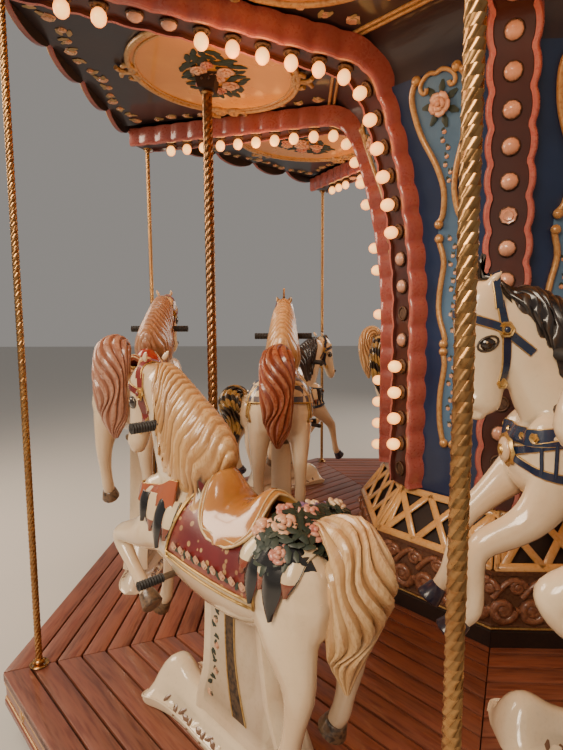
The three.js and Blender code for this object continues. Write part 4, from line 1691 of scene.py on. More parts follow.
    def on_rump(self, back: float, across: float, proud: float) -> Point:
        """Return the point on the rump for places from -1 to 1 backwards and to the left."""
        lean = radians(42 + 42 * back)
        turn = radians(82) * across
        out = Vector((-sin(lean) * cos(turn), sin(turn), cos(lean) * cos(turn)))
        return self.skin(Vector((-0.27, 0, 0.775)), out, proud, 0.5)

    def on_chest(self, turn: float, height: float, proud: float) -> Point:
        """Return the point on the chest at an angle from straight ahead and a height."""
        out = Vector((cos(turn), sin(turn), 0))
        return self.skin(Vector((0.24, 0, height)), out, proud, 0.6, 0.16, 0.30)

    def bars(self) -> Piece:
        """Build the handle bar and foot bar with rubber sleeves, and the lifting rod under the belly."""
        parts = []
        for (x, z, half), radius, thick in ((self.handle, 0.013, 0.008), (self.foot_bar, 0.012, 0.006)):
            parts.append(wear(rod((x, -half, z), (x, half, z), radius, 14), CHROME))
            for side in (1, -1):
                outer = half * side
                inner = (half - 0.095) * side
                parts.append(wear(rod((x, inner, z), (x, outer, z), radius + thick, 10, ribs=9), RUBBER))
        parts.append(wear(rod((0, 0, 0.130), (0, 0, 0.81), 0.0275, 20), CHROME))
        return join("bars", parts)

    def place(self, name: str, angle: float, radius: float, lift: float, look: Look) -> None:
        """Stand one finished horse on the ride.

        Args:
            name: the CAD node that it stands for, which is also the name of its body.
            angle: where it rides round the axis, in radians.
            radius: how far out it rides.
            lift: how high it hangs at rest.
            look: the finishes of its coat and tack.
        """
        out = Vector((cos(angle), sin(angle), 0))
        ahead = Vector((sin(angle), -cos(angle), 0))
        matrix = Matrix.Identity(4)
        for row in range(3):
            matrix[row][0] = ahead[row]
            matrix[row][1] = out[row]
        matrix.translation = out * radius + Vector((0, 0, DECK + lift))
        pieces = {"body": self.hide, **self.tack}
        for part, proto in pieces.items():
            if part in look.without:
                continue
            piece = copy_piece(
                proto, f"{name}_{part}", matrix, name, angle * 3, look.finishes
            )
            if part == "body":
                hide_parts(name)


BLACK_MANE = {"mane_blond": HAIR_DARK, "tail_blond": HAIR_DARK}
RED_SADDLE = {
    "saddle_tan": replace(
        SADDLE, name="saddle_red", colour=(0.34, 0.030, 0.022), patches=(0.22, 0.02, 0.016)
    )
}
NAVY = Finish("strap_navy", (0.014, 0.030, 0.075), (0.009, 0.016, 0.042), coat=0.7, roughness=0.26, wear=0)
WHITE_CLOTH = replace(STRIP, name="cloth_white", colour=(0.72, 0.60, 0.44), patches=(0.60, 0.44, 0.28))
FLOWERED = replace(
    CLOTH, name="cloth_flowered", pattern=Pattern.FLOWERS, second=(0.58, 0.36, 0.16), pattern_scale=34
)
CHESTNUT = replace(
    TAIL,
    name="tail_chestnut",
    colour=(0.26, 0.06, 0.03),
    patches=(0.15, 0.03, 0.015),
    worn=(0.5, 0.22, 0.1),
)
SORREL = replace(
    TAIL, name="tail_sorrel", colour=(0.42, 0.19, 0.12), patches=(0.27, 0.10, 0.06), worn=(0.68, 0.42, 0.3)
)
BROWN_MANE = replace(SORREL, name="mane_brown", colour=(0.36, 0.17, 0.075), patches=(0.20, 0.08, 0.035))
BANDED = replace(
    HAIR_DARK, name="tail_banded", pattern=Pattern.BANDS, second=(0.55, 0.34, 0.10), pattern_scale=1.0
)
BLUE_HOOF = replace(
    HOOF, name="hoof_blue", colour=(0.006, 0.010, 0.045), patches=(0.010, 0.014, 0.030), wear=0.1
)
NAVY_TACK = {
    "strap_maroon": NAVY, "hoof_black": BLUE_HOOF, "cloth_maroon": replace(NAVY, name="cloth_navy")
}


class Coat(Enum):
    """The looks of the twelve horses."""

    GARLAND = Look({"cloth_maroon": FLOWERED}, ("collar", "rump_cloth"))
    CREAM = Look(
        {"cloth_maroon": WHITE_CLOTH, **RED_SADDLE, "mane_blond": BROWN_MANE, "tail_blond": SORREL},
        ("garland", "tassels", "collar", "breast_band", "rump_cloth"),
    )
    CHECKED = Look(
        {"cloth_maroon": CHECKED_CLOTH, **RED_SADDLE, "tail_blond": CHESTNUT},
        ("garland", "tassels", "collar", "breast_band"),
    )
    BANDED = Look(
        {**NAVY_TACK, "mane_blond": HAIR_DARK, "tail_blond": BANDED},
        ("garland", "breast_band", "rump_cloth"),
    )
    NAVY = Look({**NAVY_TACK, **BLACK_MANE}, ("garland", "tassels", "breast_band", "rump_cloth"))
    BLOND = Look({**RED_SADDLE}, ("tassels", "garland", "breast_band", "rump_cloth"))


STABLE = {
    "horse_outer_1": Coat.NAVY,
    "horse_outer_2": Coat.CREAM,
    "horse_outer_3": Coat.BLOND,
    "horse_outer_4": Coat.BANDED,
    "horse_outer_5": Coat.CREAM,
    "horse_outer_6": Coat.GARLAND,
    "horse_outer_7": Coat.BLOND,
    "horse_outer_8": Coat.CHECKED,
    "horse_inner_1": Coat.GARLAND,
    "horse_inner_3": Coat.BANDED,
    "horse_inner_5": Coat.CHECKED,
    "horse_inner_7": Coat.NAVY,
}


def stand_horses() -> None:
    """Model the three kinds of horse and stand the twelve on the ride."""
    single = Horse()
    outer = Horse(kind="outer", bent=-1, high_tail=True)
    inner = Horse(kind="inner", bent=0, tucked=True, high_tail=True, cloth_back=-0.40)
    for horse in (single, outer, inner):
        horse.model()
        LOG.info("the %s kind of horse is modelled", horse.kind)
    for bay in range(BAYS):
        angle = bay * BAY_ANGLE
        if is_pair(bay):
            ranks = (("outer", OUTER_RANK, OUTER_LIFT, outer), ("inner", INNER_RANK, INNER_LIFT, inner))
        else:
            ranks = (("outer", SINGLE_RANK, 0.0, single),)
        for rank, radius, lift, horse in ranks:
            name = f"horse_{rank}_{bay + 1}"
            horse.place(name, angle, radius, lift, STABLE[name].value)
            LOG.info("%s stands in bay %d", name, bay + 1)
    for horse in (single, outer, inner):
        for proto in (horse.hide, *horse.tack.values()):
            bpy.data.objects.remove(proto)


# The lamp-lit drum and ceiling


def loft(sections: Sequence[Sequence[Point]], finishes: Sequence[Finish], capped: bool = True) -> Piece:
    """Stretch a skin over closed sections of equal length.

    Args:
        sections: the points round each section, in order along the piece.
        finishes: one finish for all of it, or one for each stretch from a section's point to the next.
        capped: whether both ends are closed.

    Returns:
        The new piece.
    """
    columns, rows = len(sections[0]), len(sections) - 1
    fresh()
    bpy.ops.mesh.primitive_grid_add(x_subdivisions=columns, y_subdivisions=rows, size=2)
    piece = bpy.context.object
    kinds = list(dict.fromkeys(finishes))
    for finish in kinds:
        piece.data.materials.append(finish.material())
    for face in piece.data.polygons:
        column = int((face.center.x + 1) / 2 * columns)
        face.material_index = kinds.index(finishes[column % len(finishes)])
    for vertex in piece.data.vertices:
        row = round((vertex.co.y + 1) / 2 * rows)
        vertex.co = sections[row][round((vertex.co.x + 1) / 2 * columns) % columns]
    edit(piece)
    bpy.ops.mesh.remove_doubles(threshold=MERGE_GAP / 10)
    if capped:
        bpy.ops.mesh.fill_holes(sides=0)
    face_outwards()
    return smooth(piece, 35)


def strip_section(x: float, half: float, z: float, deep: float, rise: float = 0.0) -> list[Point]:
    """Return the corners of a section across a strip that faces +X.

    Args:
        x: distance of its face from the axis.
        half: half its width.
        z: height of its face.
        deep: how far its back lies behind its face.
        rise: how far its back lies above its face.
    """
    return [(x, -half, z), (x, half, z), (x - deep, half, z + rise), (x - deep, -half, z + rise)]


def box(low: Point, high: Point, bevel: float, finish: Finish) -> Piece:
    """Model a block between two corners, its edges bevelled."""
    fresh()
    bpy.ops.mesh.primitive_cube_add(size=1)
    block = bpy.context.object
    block.scale = tuple(b - a for a, b in zip(low, high))
    block.location = tuple((a + b) / 2 for a, b in zip(low, high))
    settle(block, "box")
    modify(block, "BEVEL", width=bevel, segments=1, limit_method="ANGLE")
    return wear(smooth(block, 60), finish)


def plate(outline: Sequence[Pair], low: float, high: float, bevel: float, finish: Finish) -> Piece:
    """Cut a plate to an outline seen from above.

    Args:
        outline: x and y of its corners, anticlockwise.
        low: height of its underside.
        high: height of its top.
        bevel: width of the bevel on its edges.
        finish: its finish.

    Returns:
        The plate.
    """
    fresh()
    bpy.ops.mesh.primitive_circle_add(vertices=len(outline), radius=1.0, fill_type="NGON")
    piece = bpy.context.object
    for vertex, (x, y) in zip(piece.data.vertices, outline):
        vertex.co = (x, y, low)
    bpy.ops.object.mode_set(mode="EDIT")
    bpy.ops.mesh.select_all(action="SELECT")
    bpy.ops.mesh.extrude_region_move(TRANSFORM_OT_translate={"value": (0, 0, high - low)})
    face_outwards()
    if bevel:
        modify(piece, "BEVEL", width=bevel, segments=2, limit_method="ANGLE")
    return wear(smooth(piece, 40), finish)


def bar(start: Point, end: Point, half: float, deep: float, facing: Point, finish: Finish) -> Piece:
    """Model a flat bar with bevelled edges.

    Args:
        start: the middle of one end.
        end: the middle of the other end.
        half: half its width.
        deep: its thickness.
        facing: the direction that its broad side faces.
        finish: its finish.

    Returns:
        The bar.
    """
    line = Vector(end) - Vector(start)
    strip = box((-line.length / 2, -half, 0), (line.length / 2, half, deep), min(half, deep) * 0.35, finish)
    along = line.normalized()
    up = Vector(facing).normalized()
    across = up.cross(along)
    turn = Matrix((along, across, up)).transposed().to_4x4()
    strip.data.transform(Matrix.Translation((Vector(start) + Vector(end)) / 2) @ turn)
    return strip


def scatter(proto: Piece, places: Sequence[Matrix]) -> list[Piece]:
    """Return one copy of a piece for each place."""
    copies = []
    for place in places:
        copy = bpy.data.objects.new(proto.name, proto.data.copy())
        copy.data.transform(place)
        bpy.context.scene.collection.objects.link(copy)
        copies.append(copy)
    return copies


def spiral(turns: float, wide: float, tight: float, count: int = 16) -> list[Pair]:
    """Return the points of a scroll that winds in from its wide end."""
    points = []
    for i in range(count + 1):
        share = i / count
        angle = tau * turns * share
        radius = wide + (tight - wide) * share
        points.append((radius * cos(angle), radius * sin(angle)))
    return points


def at_facing(place: Point, facing: Point, up: Point = (0, 0, 1)) -> Matrix:
    """Return the placing of a piece drawn facing +Z, so that it faces a direction with its +Y towards up."""
    front = Vector(facing).normalized()
    across = Vector(up).cross(front).normalized()
    top = front.cross(across)
    turn = Matrix((across, top, front)).transposed().to_4x4()
    return Matrix.Translation(place) @ turn


class Lamp(Enum):
    """What a lamp socket holds."""

    LIT = "lit"
    DOME = "dome"
    ROSETTE = "rosette"
    EMPTY = "empty"


LAMP_KEY = {"o": Lamp.LIT, "d": Lamp.DOME, "r": Lamp.ROSETTE, ".": Lamp.EMPTY}


@dataclass
class Arch:
    """The rib and pilaster at a corner of the ride, with lamps along it, drawn about the +X axis.

    It runs in under the ceiling, turns down on to the drum and ends on the skirt.
    """

    face: float = 0.705
    foot: float = 0.592
    turn_height: float = 2.57
    reach: float = 2.58
    half: float = 0.104
    deep: float = 0.112
    flute: float = 0.022
    lip: float = 0.022
    steps: int = 8  # sections from one lamp to the next
    first_lamp: float = 0.286  # from the outer end of the rib
    lamps: int = 25

    def line(self) -> list[tuple[Vector, Vector]]:
        """Return points and outward directions along the face, evenly spaced from the rib's outer end."""
        start = self.face + flare(self.turn_height)
        corners = [
            (self.reach, 2.745),
            (start + 0.30, 2.674),
            (start + 0.13, 2.662),
            (start + 0.055, 2.63),
            (start + 0.012, 2.57),
        ]
        height = self.turn_height - 0.08
        while height > self.foot:
            corners.append((self.face + flare(height), height))
            height -= 0.08
        corners.append((self.face, self.foot))
        path = [Vector((x, 0, z)) for x, z in corners]
        for _ in range(3):
            finer = [path[0]]
            for a, b in zip(path, path[1:]):
                finer += [a.lerp(b, 0.25), a.lerp(b, 0.75)]
            path = [*finer, path[-1]]
        step = LAMP_PITCH / self.steps
        samples = [path[0].copy()]
        spare = 0.0
        for a, b in zip(path, path[1:]):
            length = (b - a).length
            while spare + length >= step:
                share = (step - spare) / length
                a = a.lerp(b, share)
                length *= 1 - share
                samples.append(a.copy())
                spare = 0.0
            spare += length
        samples.append(path[-1])
        result = []
        for i, sample in enumerate(samples):
            along = samples[min(i + 1, len(samples) - 1)] - samples[max(i - 1, 0)]
            along.normalize()
            result.append((sample, Vector((-along.z, 0, along.x))))
        return result

    def model(self) -> Piece:
        """Build the fluted rib with its wavy lips and dark floor, the floor's darkness partly painted shade.
        """
        sections = []
        line = self.line()
        for i, (middle, out) in enumerate(line):
            phase = pi * (i * LAMP_PITCH / self.steps - self.first_lamp) / LAMP_PITCH
            lobe = abs(cos(phase)) ** 0.45
            side = self.half - self.flute * (1 - lobe)
            edge = side - 0.006
            inner = edge - self.lip
            halves = (
                (side, -self.deep),
                (side, -0.02),
                (edge, -0.002),
                (edge - 0.006, 0.004),
                (inner, 0.004),
                (inner - 0.003, -0.012),
            )
            points = [middle + out * n + Vector((0, y, 0)) for y, n in halves]
            points += [middle + out * n - Vector((0, y, 0)) for y, n in reversed(halves)]
            sections.append([tuple(point) for point in points])
        finishes = [ARCH_SIDE, ARCH_SIDE, ARCH_LIP, ARCH_LIP, ARCH_FLOOR, ARCH_FLOOR]
        finishes += [ARCH_FLOOR, ARCH_LIP, ARCH_LIP, ARCH_SIDE, ARCH_SIDE, ARCH_SIDE]
        return loft(sections, finishes)

    def seats(self) -> list[Matrix]:
        """Return the placing of each lamp, facing out of the rib's face."""
        line = self.line()
        step = LAMP_PITCH / self.steps
        places = []
        for i in range(self.lamps):
            middle, out = line[min(round((self.first_lamp + i * LAMP_PITCH) / step), len(line) - 3)]
            places.append(at_facing(tuple(middle - out * 0.010), tuple(out), (0, 1, 0)))
        return places

    def lamp_row(self, key: str, name: str) -> Piece:
        """Fill the sockets as a key of letters says, from the outer end inwards."""
        seats = self.seats()
        kinds = [LAMP_KEY[letter] for letter in key]
        fittings = (
            (ring_of((0, 0, 0.004), 0.034, 0.006), SOCKET, tuple(Lamp)),
            (rod((0, 0, -0.004), (0, 0, 0.004), 0.031, 8), SOCKET, tuple(Lamp)),
            (rod((0, 0, 0.003), (0, 0, 0.022), 0.014, 6), TRIM, (Lamp.LIT,)),
            (blob((0, 0, 0.046), (0.033, 0.033, 0.037)), LAMP_LIT, (Lamp.LIT,)),
            (blob((0, 0, 0.004), (0.0365, 0.0365, 0.026)), LAMP_DOME, (Lamp.DOME,)),
            (rosette((0, 0, 0.002), (0, 0, 1), 0.036, 0.016, 8), LAMP_DOME, (Lamp.ROSETTE,)),
        )
        parts = []
        for proto, finish, wanted in fittings:
            parts += scatter(
                wear(proto, finish), [seat for seat, kind in zip(seats, kinds) if kind in wanted]
            )
            bpy.data.objects.remove(proto)
        return join(name, parts)


ARCH_KEYS = {
    4: "ooddoooooooooooodd.doooo.",
    3: "oooooooooooooodoodo.doooo",
    5: "dddddddddddddddrddddd.d.d",
}
PLAIN_KEY = "ooodooooooooooooododooooo"


@dataclass
class DrumSide:
    """One side of the drum, about the +X axis: kick board, carved plinth, lattice skirt and painted panel."""

    plinth: float = flat_of(0.85)
    plinth_height: float = 0.36
    skirt_top: float = flat_of(0.681)
    skirt_height: float = 0.59
    wall: float = flat_of(0.66)
    top: float = 2.57
    thickness: float = 0.03
    tuck: float = 0.088  # how far the panel stops from the corner line, under the arch
    crossings: Sequence[float] = (-0.185, 0.0, 0.185)
    violin: Sequence[Pair] = (
        (0.855, 0.030),
        (0.96, 0.052),
        (1.10, 0.054),
        (1.25, 0.034),
        (1.34, 0.052),
        (1.38, 0.036),
        (1.50, 0.072),
        (1.62, 0.068),
        (1.755, 0.044),
        (1.864, 0.070),
        (1.93, 0.068),
        (1.973, 0.040),
        (2.082, 0.027),
        (2.197, 0.056),
        (2.323, 0.112),
        (2.427, 0.136),
        (2.50, 0.136),
        (2.55, 0.105),
    )

    def on_wall(self, across: float, height: float, proud: float = 0.0) -> Point:
        """Return the place on the panel's face, or a distance in front of it."""
        return (self.wall + flare(height) + proud, across, height)

    def on_skirt(self, across: float, share: float, proud: float = 0.0) -> Point:
        """Return the place on the leaning skirt, a share of the way up it."""
        x = self.plinth + (self.skirt_top - self.plinth) * share
        z = self.plinth_height + (self.skirt_height - self.plinth_height) * share
        out = Vector((self.skirt_height - self.plinth_height, 0, self.plinth - self.skirt_top)).normalized()
        return tuple(Vector((x, across, z)) + out * proud)

    def panel(self) -> Piece:
        """Build the navy panel with its light-blue violin field, gold scroll, rose and falling flowers."""
        sections = []
        for i in range(15):
            height = 0.575 + (self.top - 0.575) * i / 14
            face = self.wall + flare(height)
            half = face * tan(HALF_BAY) - self.tuck
            sections.append(strip_section(face, half, height, 0.03))
        parts = [loft(sections, [PANEL_NAVY])]
        fields = []
        for height, half in flowing(self.violin, 3):
            low, high = self.on_wall(0, height)[0], self.on_wall(0, height, 0.004)[0]
            fields.append(
                [(high, -half, height), (high, half, height), (low, half, height), (low, -half, height)]
            )
        parts.append(loft(fields, [PANEL_BLUE]))
        for side in (1, -1):
            for low, high in ((0.855, 1.335), (1.35, 1.885), (1.915, 2.55)):
                run = [(z, w) for z, w in flowing(self.violin, 3) if low - 0.001 <= z <= high + 0.001]
                line = [self.on_wall(side * w, z, 0.010) for z, w in run]
                parts.append(moulding(line, 0.0145, GILT))
                for z, w in (run[0], run[-1]):
                    ball = blob(self.on_wall(side * (w - 0.006), z, 0.014), (0.020, 0.023, 0.023))
                    parts.append(wear(ball, GILT))
            crown = (
                (0.0, 2.552),
                (0.03, 2.560),
                (0.062, 2.548),
                (0.085, 2.522),
                (0.080, 2.497),
                (0.060, 2.494),
                (0.055, 2.510),
            )
            parts.append(
                moulding([self.on_wall(side * y, z, 0.012) for y, z in flowing(crown, 3)], 0.0105, GILT)
            )
        parts.append(wear(rose(self.on_wall(0, 2.435, 0.004), (1, 0, -0.2), 0.056, 0.040), ROSE_PALE))
        for i in range(7):
            angle = tau * i / 7 + 0.4
            place = self.on_wall(0.062 * cos(angle), 2.435 + 0.066 * sin(angle), 0.006)
            parts.append(wear(leaf(place, (1, 0, -0.2), 0.036, angle), LEAF))
        dice = random.Random(8)
        for low, high, count in ((2.12, 2.36, 8), (1.42, 1.86, 12), (0.95, 1.28, 9)):
            for i in range(count):
                height = low + (high - low) * i / (count - 1)
                across = 0.013 * sin(i * 2.1)
                parts.append(
                    wear(rosette(self.on_wall(across, height, 0.004), (1, 0, 0), 0.011, 0.006), BLOSSOM)
                )
                for _ in range(2):
                    spot = self.on_wall(across + 0.016 * (dice.random() - 0.5), height + 0.012, 0.005)
                    parts.append(wear(leaf(spot, (1, 0, 0), 0.011, dice.random() * tau), LEAF))
        return join("drum_panel", parts)

    def base(self) -> Piece:
        """Build the kick board, the carved plinth and the lattice skirt over its dark backing."""
        face, back = self.plinth, self.plinth - self.thickness

        def reach(x: float) -> float:
            """Return half the width of the side at a distance from the axis."""
            return x * tan(HALF_BAY) - 0.0005

        rows = [
            (0.001, face), (0.075, face), (0.08, face - 0.008), (0.10, face - 0.008), (0.105, face - 0.014)
        ]
        rows += [(0.335, face - 0.014), (0.34, face - 0.002), (0.36, face)]
        sections = [
            [(x, -reach(x), z), (x, reach(x), z), (back, reach(back), z), (back, -reach(back), z)]
            for z, x in rows
        ]
        plinth = loft(sections, [PLINTH])
        paint(plinth, KICK_AND_SHADE, lambda f: f.center.z < 0.085)
        edge = [(face - 0.004, -reach(face), 0.09), (face - 0.004, reach(face), 0.09)]
        parts = [plinth, moulding(edge, 0.006, TRIM)]
        parts += self.carving(face - 0.012)
        inset = 0.035
        low, high = self.on_skirt(0, 0.0, -inset), self.on_skirt(0, 1.0, -inset)
        dark = []
        for x, _, z in (low, high):
            dark.append(strip_section(x, reach(x), z, 0.01))
        parts.append(loft(dark, [KICK_AND_SHADE]))
        out = (self.skirt_height - self.plinth_height, 0, self.plinth - self.skirt_top)
        for share, half in ((0.07, 0.019), (0.93, 0.019)):
            place = self.on_skirt(0, share, -0.014)
            span = reach(place[0]) - 0.003
            parts.append(
                bar((place[0], -span, place[2]), (place[0], span, place[2]), half, 0.014, out, LATTICE)
            )
        step = self.crossings[1] - self.crossings[0]
        for middle in self.crossings:
            for lean in (1, -1):
                start = self.on_skirt(middle - lean * step / 2, 0.06, -0.0135 - 0.0005 * lean)
                end = self.on_skirt((middle + lean * step / 2) * 0.93, 0.94, -0.0135 - 0.0005 * lean)
                parts.append(bar(start, end, 0.018, 0.013, out, LATTICE))
        for side in (1, -1):
            low, high = self.on_skirt(0, 0.02, -0.014), self.on_skirt(0, 0.98, -0.014)
            start = (low[0], side * (reach(low[0]) - 0.014), low[2])
            end = (high[0], side * (reach(high[0]) - 0.014), high[2])
            parts.append(bar(start, end, 0.013, 0.014, out, LATTICE))
            start = (low[0], side * (reach(low[0]) - 0.055), low[2])
            end = (high[0], side * (reach(high[0]) - 0.012), high[2])
            parts.append(bar(start, end, 0.016, 0.012, out, LATTICE))
        return join("drum_base", parts)

    def carving(self, face: float) -> list[Piece]:
        """Carve a running scroll along the plinth, large curls below and small ones above."""
        parts = []
        count = 5
        width = 2 * self.plinth * tan(HALF_BAY) / count
        for i in range(count):
            middle = (i - (count - 1) / 2) * width
            big = [
                (face + 0.006, middle - 0.012 + y, 0.178 + z) for y, z in spiral(-1.35, 0.058, 0.016, 18)
            ]
            small = [(face + 0.004, middle + 0.05 + y, 0.282 + z) for y, z in spiral(1.2, 0.036, 0.010, 14)]
            link = [
                (face + 0.004, middle - 0.06 + 0.11 * t, 0.235 + 0.085 * sin(pi * t * 0.55))
                for t in (0, 0.25, 0.5, 0.75, 1)
            ]
            tail = [
                (face + 0.003, middle + 0.045 + 0.05 * t, 0.178 - 0.05 * t * t + 0.02 * t)
                for t in (0, 0.33, 0.66, 1)
            ]
            for line, radius in ((big, 0.0195), (small, 0.0140), (link, 0.0150), (tail, 0.0130)):
                parts.append(moulding(line, radius, PLINTH_RELIEF))
            big_heart = blob((face + 0.008, middle - 0.012, 0.178), (0.016, 0.030, 0.030))
            small_heart = blob((face + 0.006, middle + 0.05, 0.282), (0.013, 0.020, 0.020))
            parts += [wear(big_heart, PLINTH_RELIEF), wear(small_heart, PLINTH_RELIEF)]
        return parts


@dataclass
class CeilingBay:
    """One bay of the ceiling, about the +X axis: a cove, a dark painted panel and its golden medallion."""

    inner: float = flat_of(0.66 + flare(2.57))
    outer: float = flat_of(2.70) - 0.0305
    cove: Sequence[Pair] = ((0.0, 2.5705), (0.012, 2.62), (0.04, 2.675), (0.085, 2.73), (0.15, 2.78))
    rise: float = 0.11
    thickness: float = 0.022
    tuck: float = 0.09
    medallion: float = 1.65
    half_long: float = 0.46
    half_wide: float = 0.49

    def underside(self, x: float) -> float:
        """Return the height of the panel's underside at a distance from the axis."""
        start = self.inner + 0.15
        return 2.78 + self.rise * (x - start) / (self.outer - start)

    def hung(self, x: float, y: float, drop: float) -> Point:
        """Return a place that hangs a distance under the panel."""
        return (x, y, self.underside(x) - drop)

    def model(self) -> Piece:
        """Build the bay."""
        rows = [(self.inner + x, z) for x, z in self.cove]
        rows += [(self.inner + 0.15 + (self.outer - self.inner - 0.15) * i / 8, 0.0) for i in range(1, 9)]
        sections = []
        for x, z in rows:
            height = z or self.underside(x)
            half = x * tan(HALF_BAY) - self.tuck
            sections.append(strip_section(x, half, height, 0.01, self.thickness))
        parts = [loft(sections, [CEILING_DARK])]
        parts += self.golden_disc()
        parts += self.flowers()
        for share in (0.0, 0.03):
            x = self.inner + 0.17 + share
            half = x * tan(HALF_BAY) - self.tuck
            parts.append(moulding([self.hung(x, -half, 0.004), self.hung(x, half, 0.004)], 0.010, GILT))
        return join("ceiling_panel", parts)

    def oval(self, long: float, wide: float, drop: float) -> list[Point]:
        """Return an oval line hung under the panel round the medallion's middle."""
        points = []
        count = 48
        for i in range(count):
            angle = tau * i / count
            points.append(self.hung(self.medallion + long * cos(angle), wide * sin(angle), drop))
        return points

    def golden_disc(self) -> list[Piece]:
        """Build the medallion with its double moulding, corner scrolls, roses and leaves."""
        rim = self.oval(self.half_long, self.half_wide, 0.014)
        root = self.oval(self.half_long, self.half_wide, 0.0)
        middle = self.oval(self.half_long * 0.5, self.half_wide * 0.5, 0.014)
        centre = self.oval(0.001, 0.001, 0.014)
        disc = loft([root, rim, middle, centre], [MEDALLION], capped=False)
        parts = [disc]
        parts.append(moulding(self.oval(0.462, 0.492, 0.014), 0.017, GILT, closed=True))
        parts.append(moulding(self.oval(0.427, 0.457, 0.016), 0.007, GILT, closed=True))
        for side in (1, -1):
            for lean in (1, -1):
                hook = [(0.50 + y, lean * (0.055 + z)) for y, z in spiral(0.95, 0.078, 0.028, 16)]
                line = [self.hung(self.medallion + x, side * y, 0.018) for y, x in hook]
                parts.append(moulding(line, 0.016, GILT))
                knob = self.hung(self.medallion + lean * 0.055, side * 0.50, 0.022)
                parts.append(wear(blob(knob, (0.022, 0.022, 0.018)), GILT))
                hook = [(0.475 + x, 0.05 + y) for x, y in spiral(-0.9, 0.062, 0.024, 14)]
                line = [self.hung(self.medallion + side * x, lean * y, 0.018) for x, y in hook]
                parts.append(moulding(line, 0.014, GILT))
        roses = (
            (0.0, 0.0, 0.062),
            (0.075, 0.085, 0.05),
            (-0.07, 0.08, 0.052),
            (0.08, -0.08, 0.048),
            (-0.075, -0.085, 0.054),
        )
        roses += ((0.02, 0.15, 0.036), (-0.01, -0.155, 0.036))
        for x, y, size in roses:
            place = self.hung(self.medallion + x, y, 0.014)
            parts.append(wear(rose(place, (0, 0, -1), size, 0.034), ROSE if size < 0.05 else ROSE_PALE))
        dice = random.Random(12)
        leaves = 46
        for i in range(leaves):
            angle = i * 2.4
            radius = 0.07 + 0.15 * sqrt((i + 1) / leaves)
            place = self.hung(self.medallion + radius * cos(angle) * 0.8, radius * sin(angle) * 1.25, 0.015)
            length = 0.038 + 0.022 * dice.random()
            parts.append(wear(leaf(place, (0, 0, -1), length, angle + dice.random()), LEAF))
        return parts

    def flowers(self) -> list[Piece]:
        """Set a border of small flowers and leaves round the panel's edge."""
        parts = []
        dice = random.Random(5)
        x_in, x_out = self.inner + 0.27, self.outer - 0.10
        spots = []
        for i in range(16):
            share = i / 15
            half = x_out * tan(HALF_BAY) - self.tuck - 0.09
            spots.append((x_out - 0.03 * cos(share * 17), half * (2 * share - 1)))
        for side in (1, -1):
            for i in range(11):
                x = x_in + (x_out - x_in - 0.08) * i / 11
                half = x * tan(HALF_BAY) - self.tuck - 0.075
                spots.append((x, side * (half - 0.012 * cos(i * 2.2))))
        for k, (x, y) in enumerate(spots):
            size = 0.034 if k % 3 == 0 else 0.022
            parts.append(wear(rosette(self.hung(x, y, 0.001), (0, 0, -1), size, 0.010, 4), BLOSSOM))
            for _ in range(2):
                spot = self.hung(x + 0.05 * (dice.random() - 0.5), y + 0.06 * (dice.random() - 0.5), 0.002)
                parts.append(wear(leaf(spot, (0, 0, -1), 0.034, dice.random() * tau), LEAF_DULL))
        return parts


def build_drum() -> None:
    """Build the drum sides, the ceiling bays, the arches and their lamps, and set them round the ride."""
    side, ceiling, arch = DrumSide(), CeilingBay(), Arch()
    panel, base, bay_ceiling, rib = side.panel(), side.base(), ceiling.model(), arch.model()
    rows = {key: arch.lamp_row(key, "lamp_row") for key in sorted({*ARCH_KEYS.values(), PLAIN_KEY})}
    for bay in range(BAYS):
        turn = Matrix.Rotation(bay * BAY_ANGLE, 4, "Z")
        lifted = Matrix.Translation((0, 0, DECK)) @ turn
        corner = lifted @ Matrix.Rotation(HALF_BAY, 4, "Z")
        number = bay + 1
        wall = copy_piece(panel, f"drum_panel_{number}", lifted, "turntable", bay * 0.7)
        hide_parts(f"drum_side_{number}")
        copy_piece(base, f"drum_base_{number}", lifted, "turntable", bay * 0.9)
        above = copy_piece(
            bay_ceiling, f"ceiling_panel_{number}", lifted, "turntable", bay * 0.8
        )
        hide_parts(f"ceiling_bay_{number}")
        copy_piece(rib, f"arch_{number}", corner, "turntable", bay * 1.1)
        key = ARCH_KEYS.get(bay, PLAIN_KEY)
        copy_piece(rows[key], f"lamps_{number}", corner, "turntable", bay * 1.3)
        LOG.info("bay %d: drum side, ceiling and arch", number)
    for proto in (panel, base, bay_ceiling, rib, *rows.values()):
        bpy.data.objects.remove(proto)


# Deck, pedestals, poles, rounding boards and roof


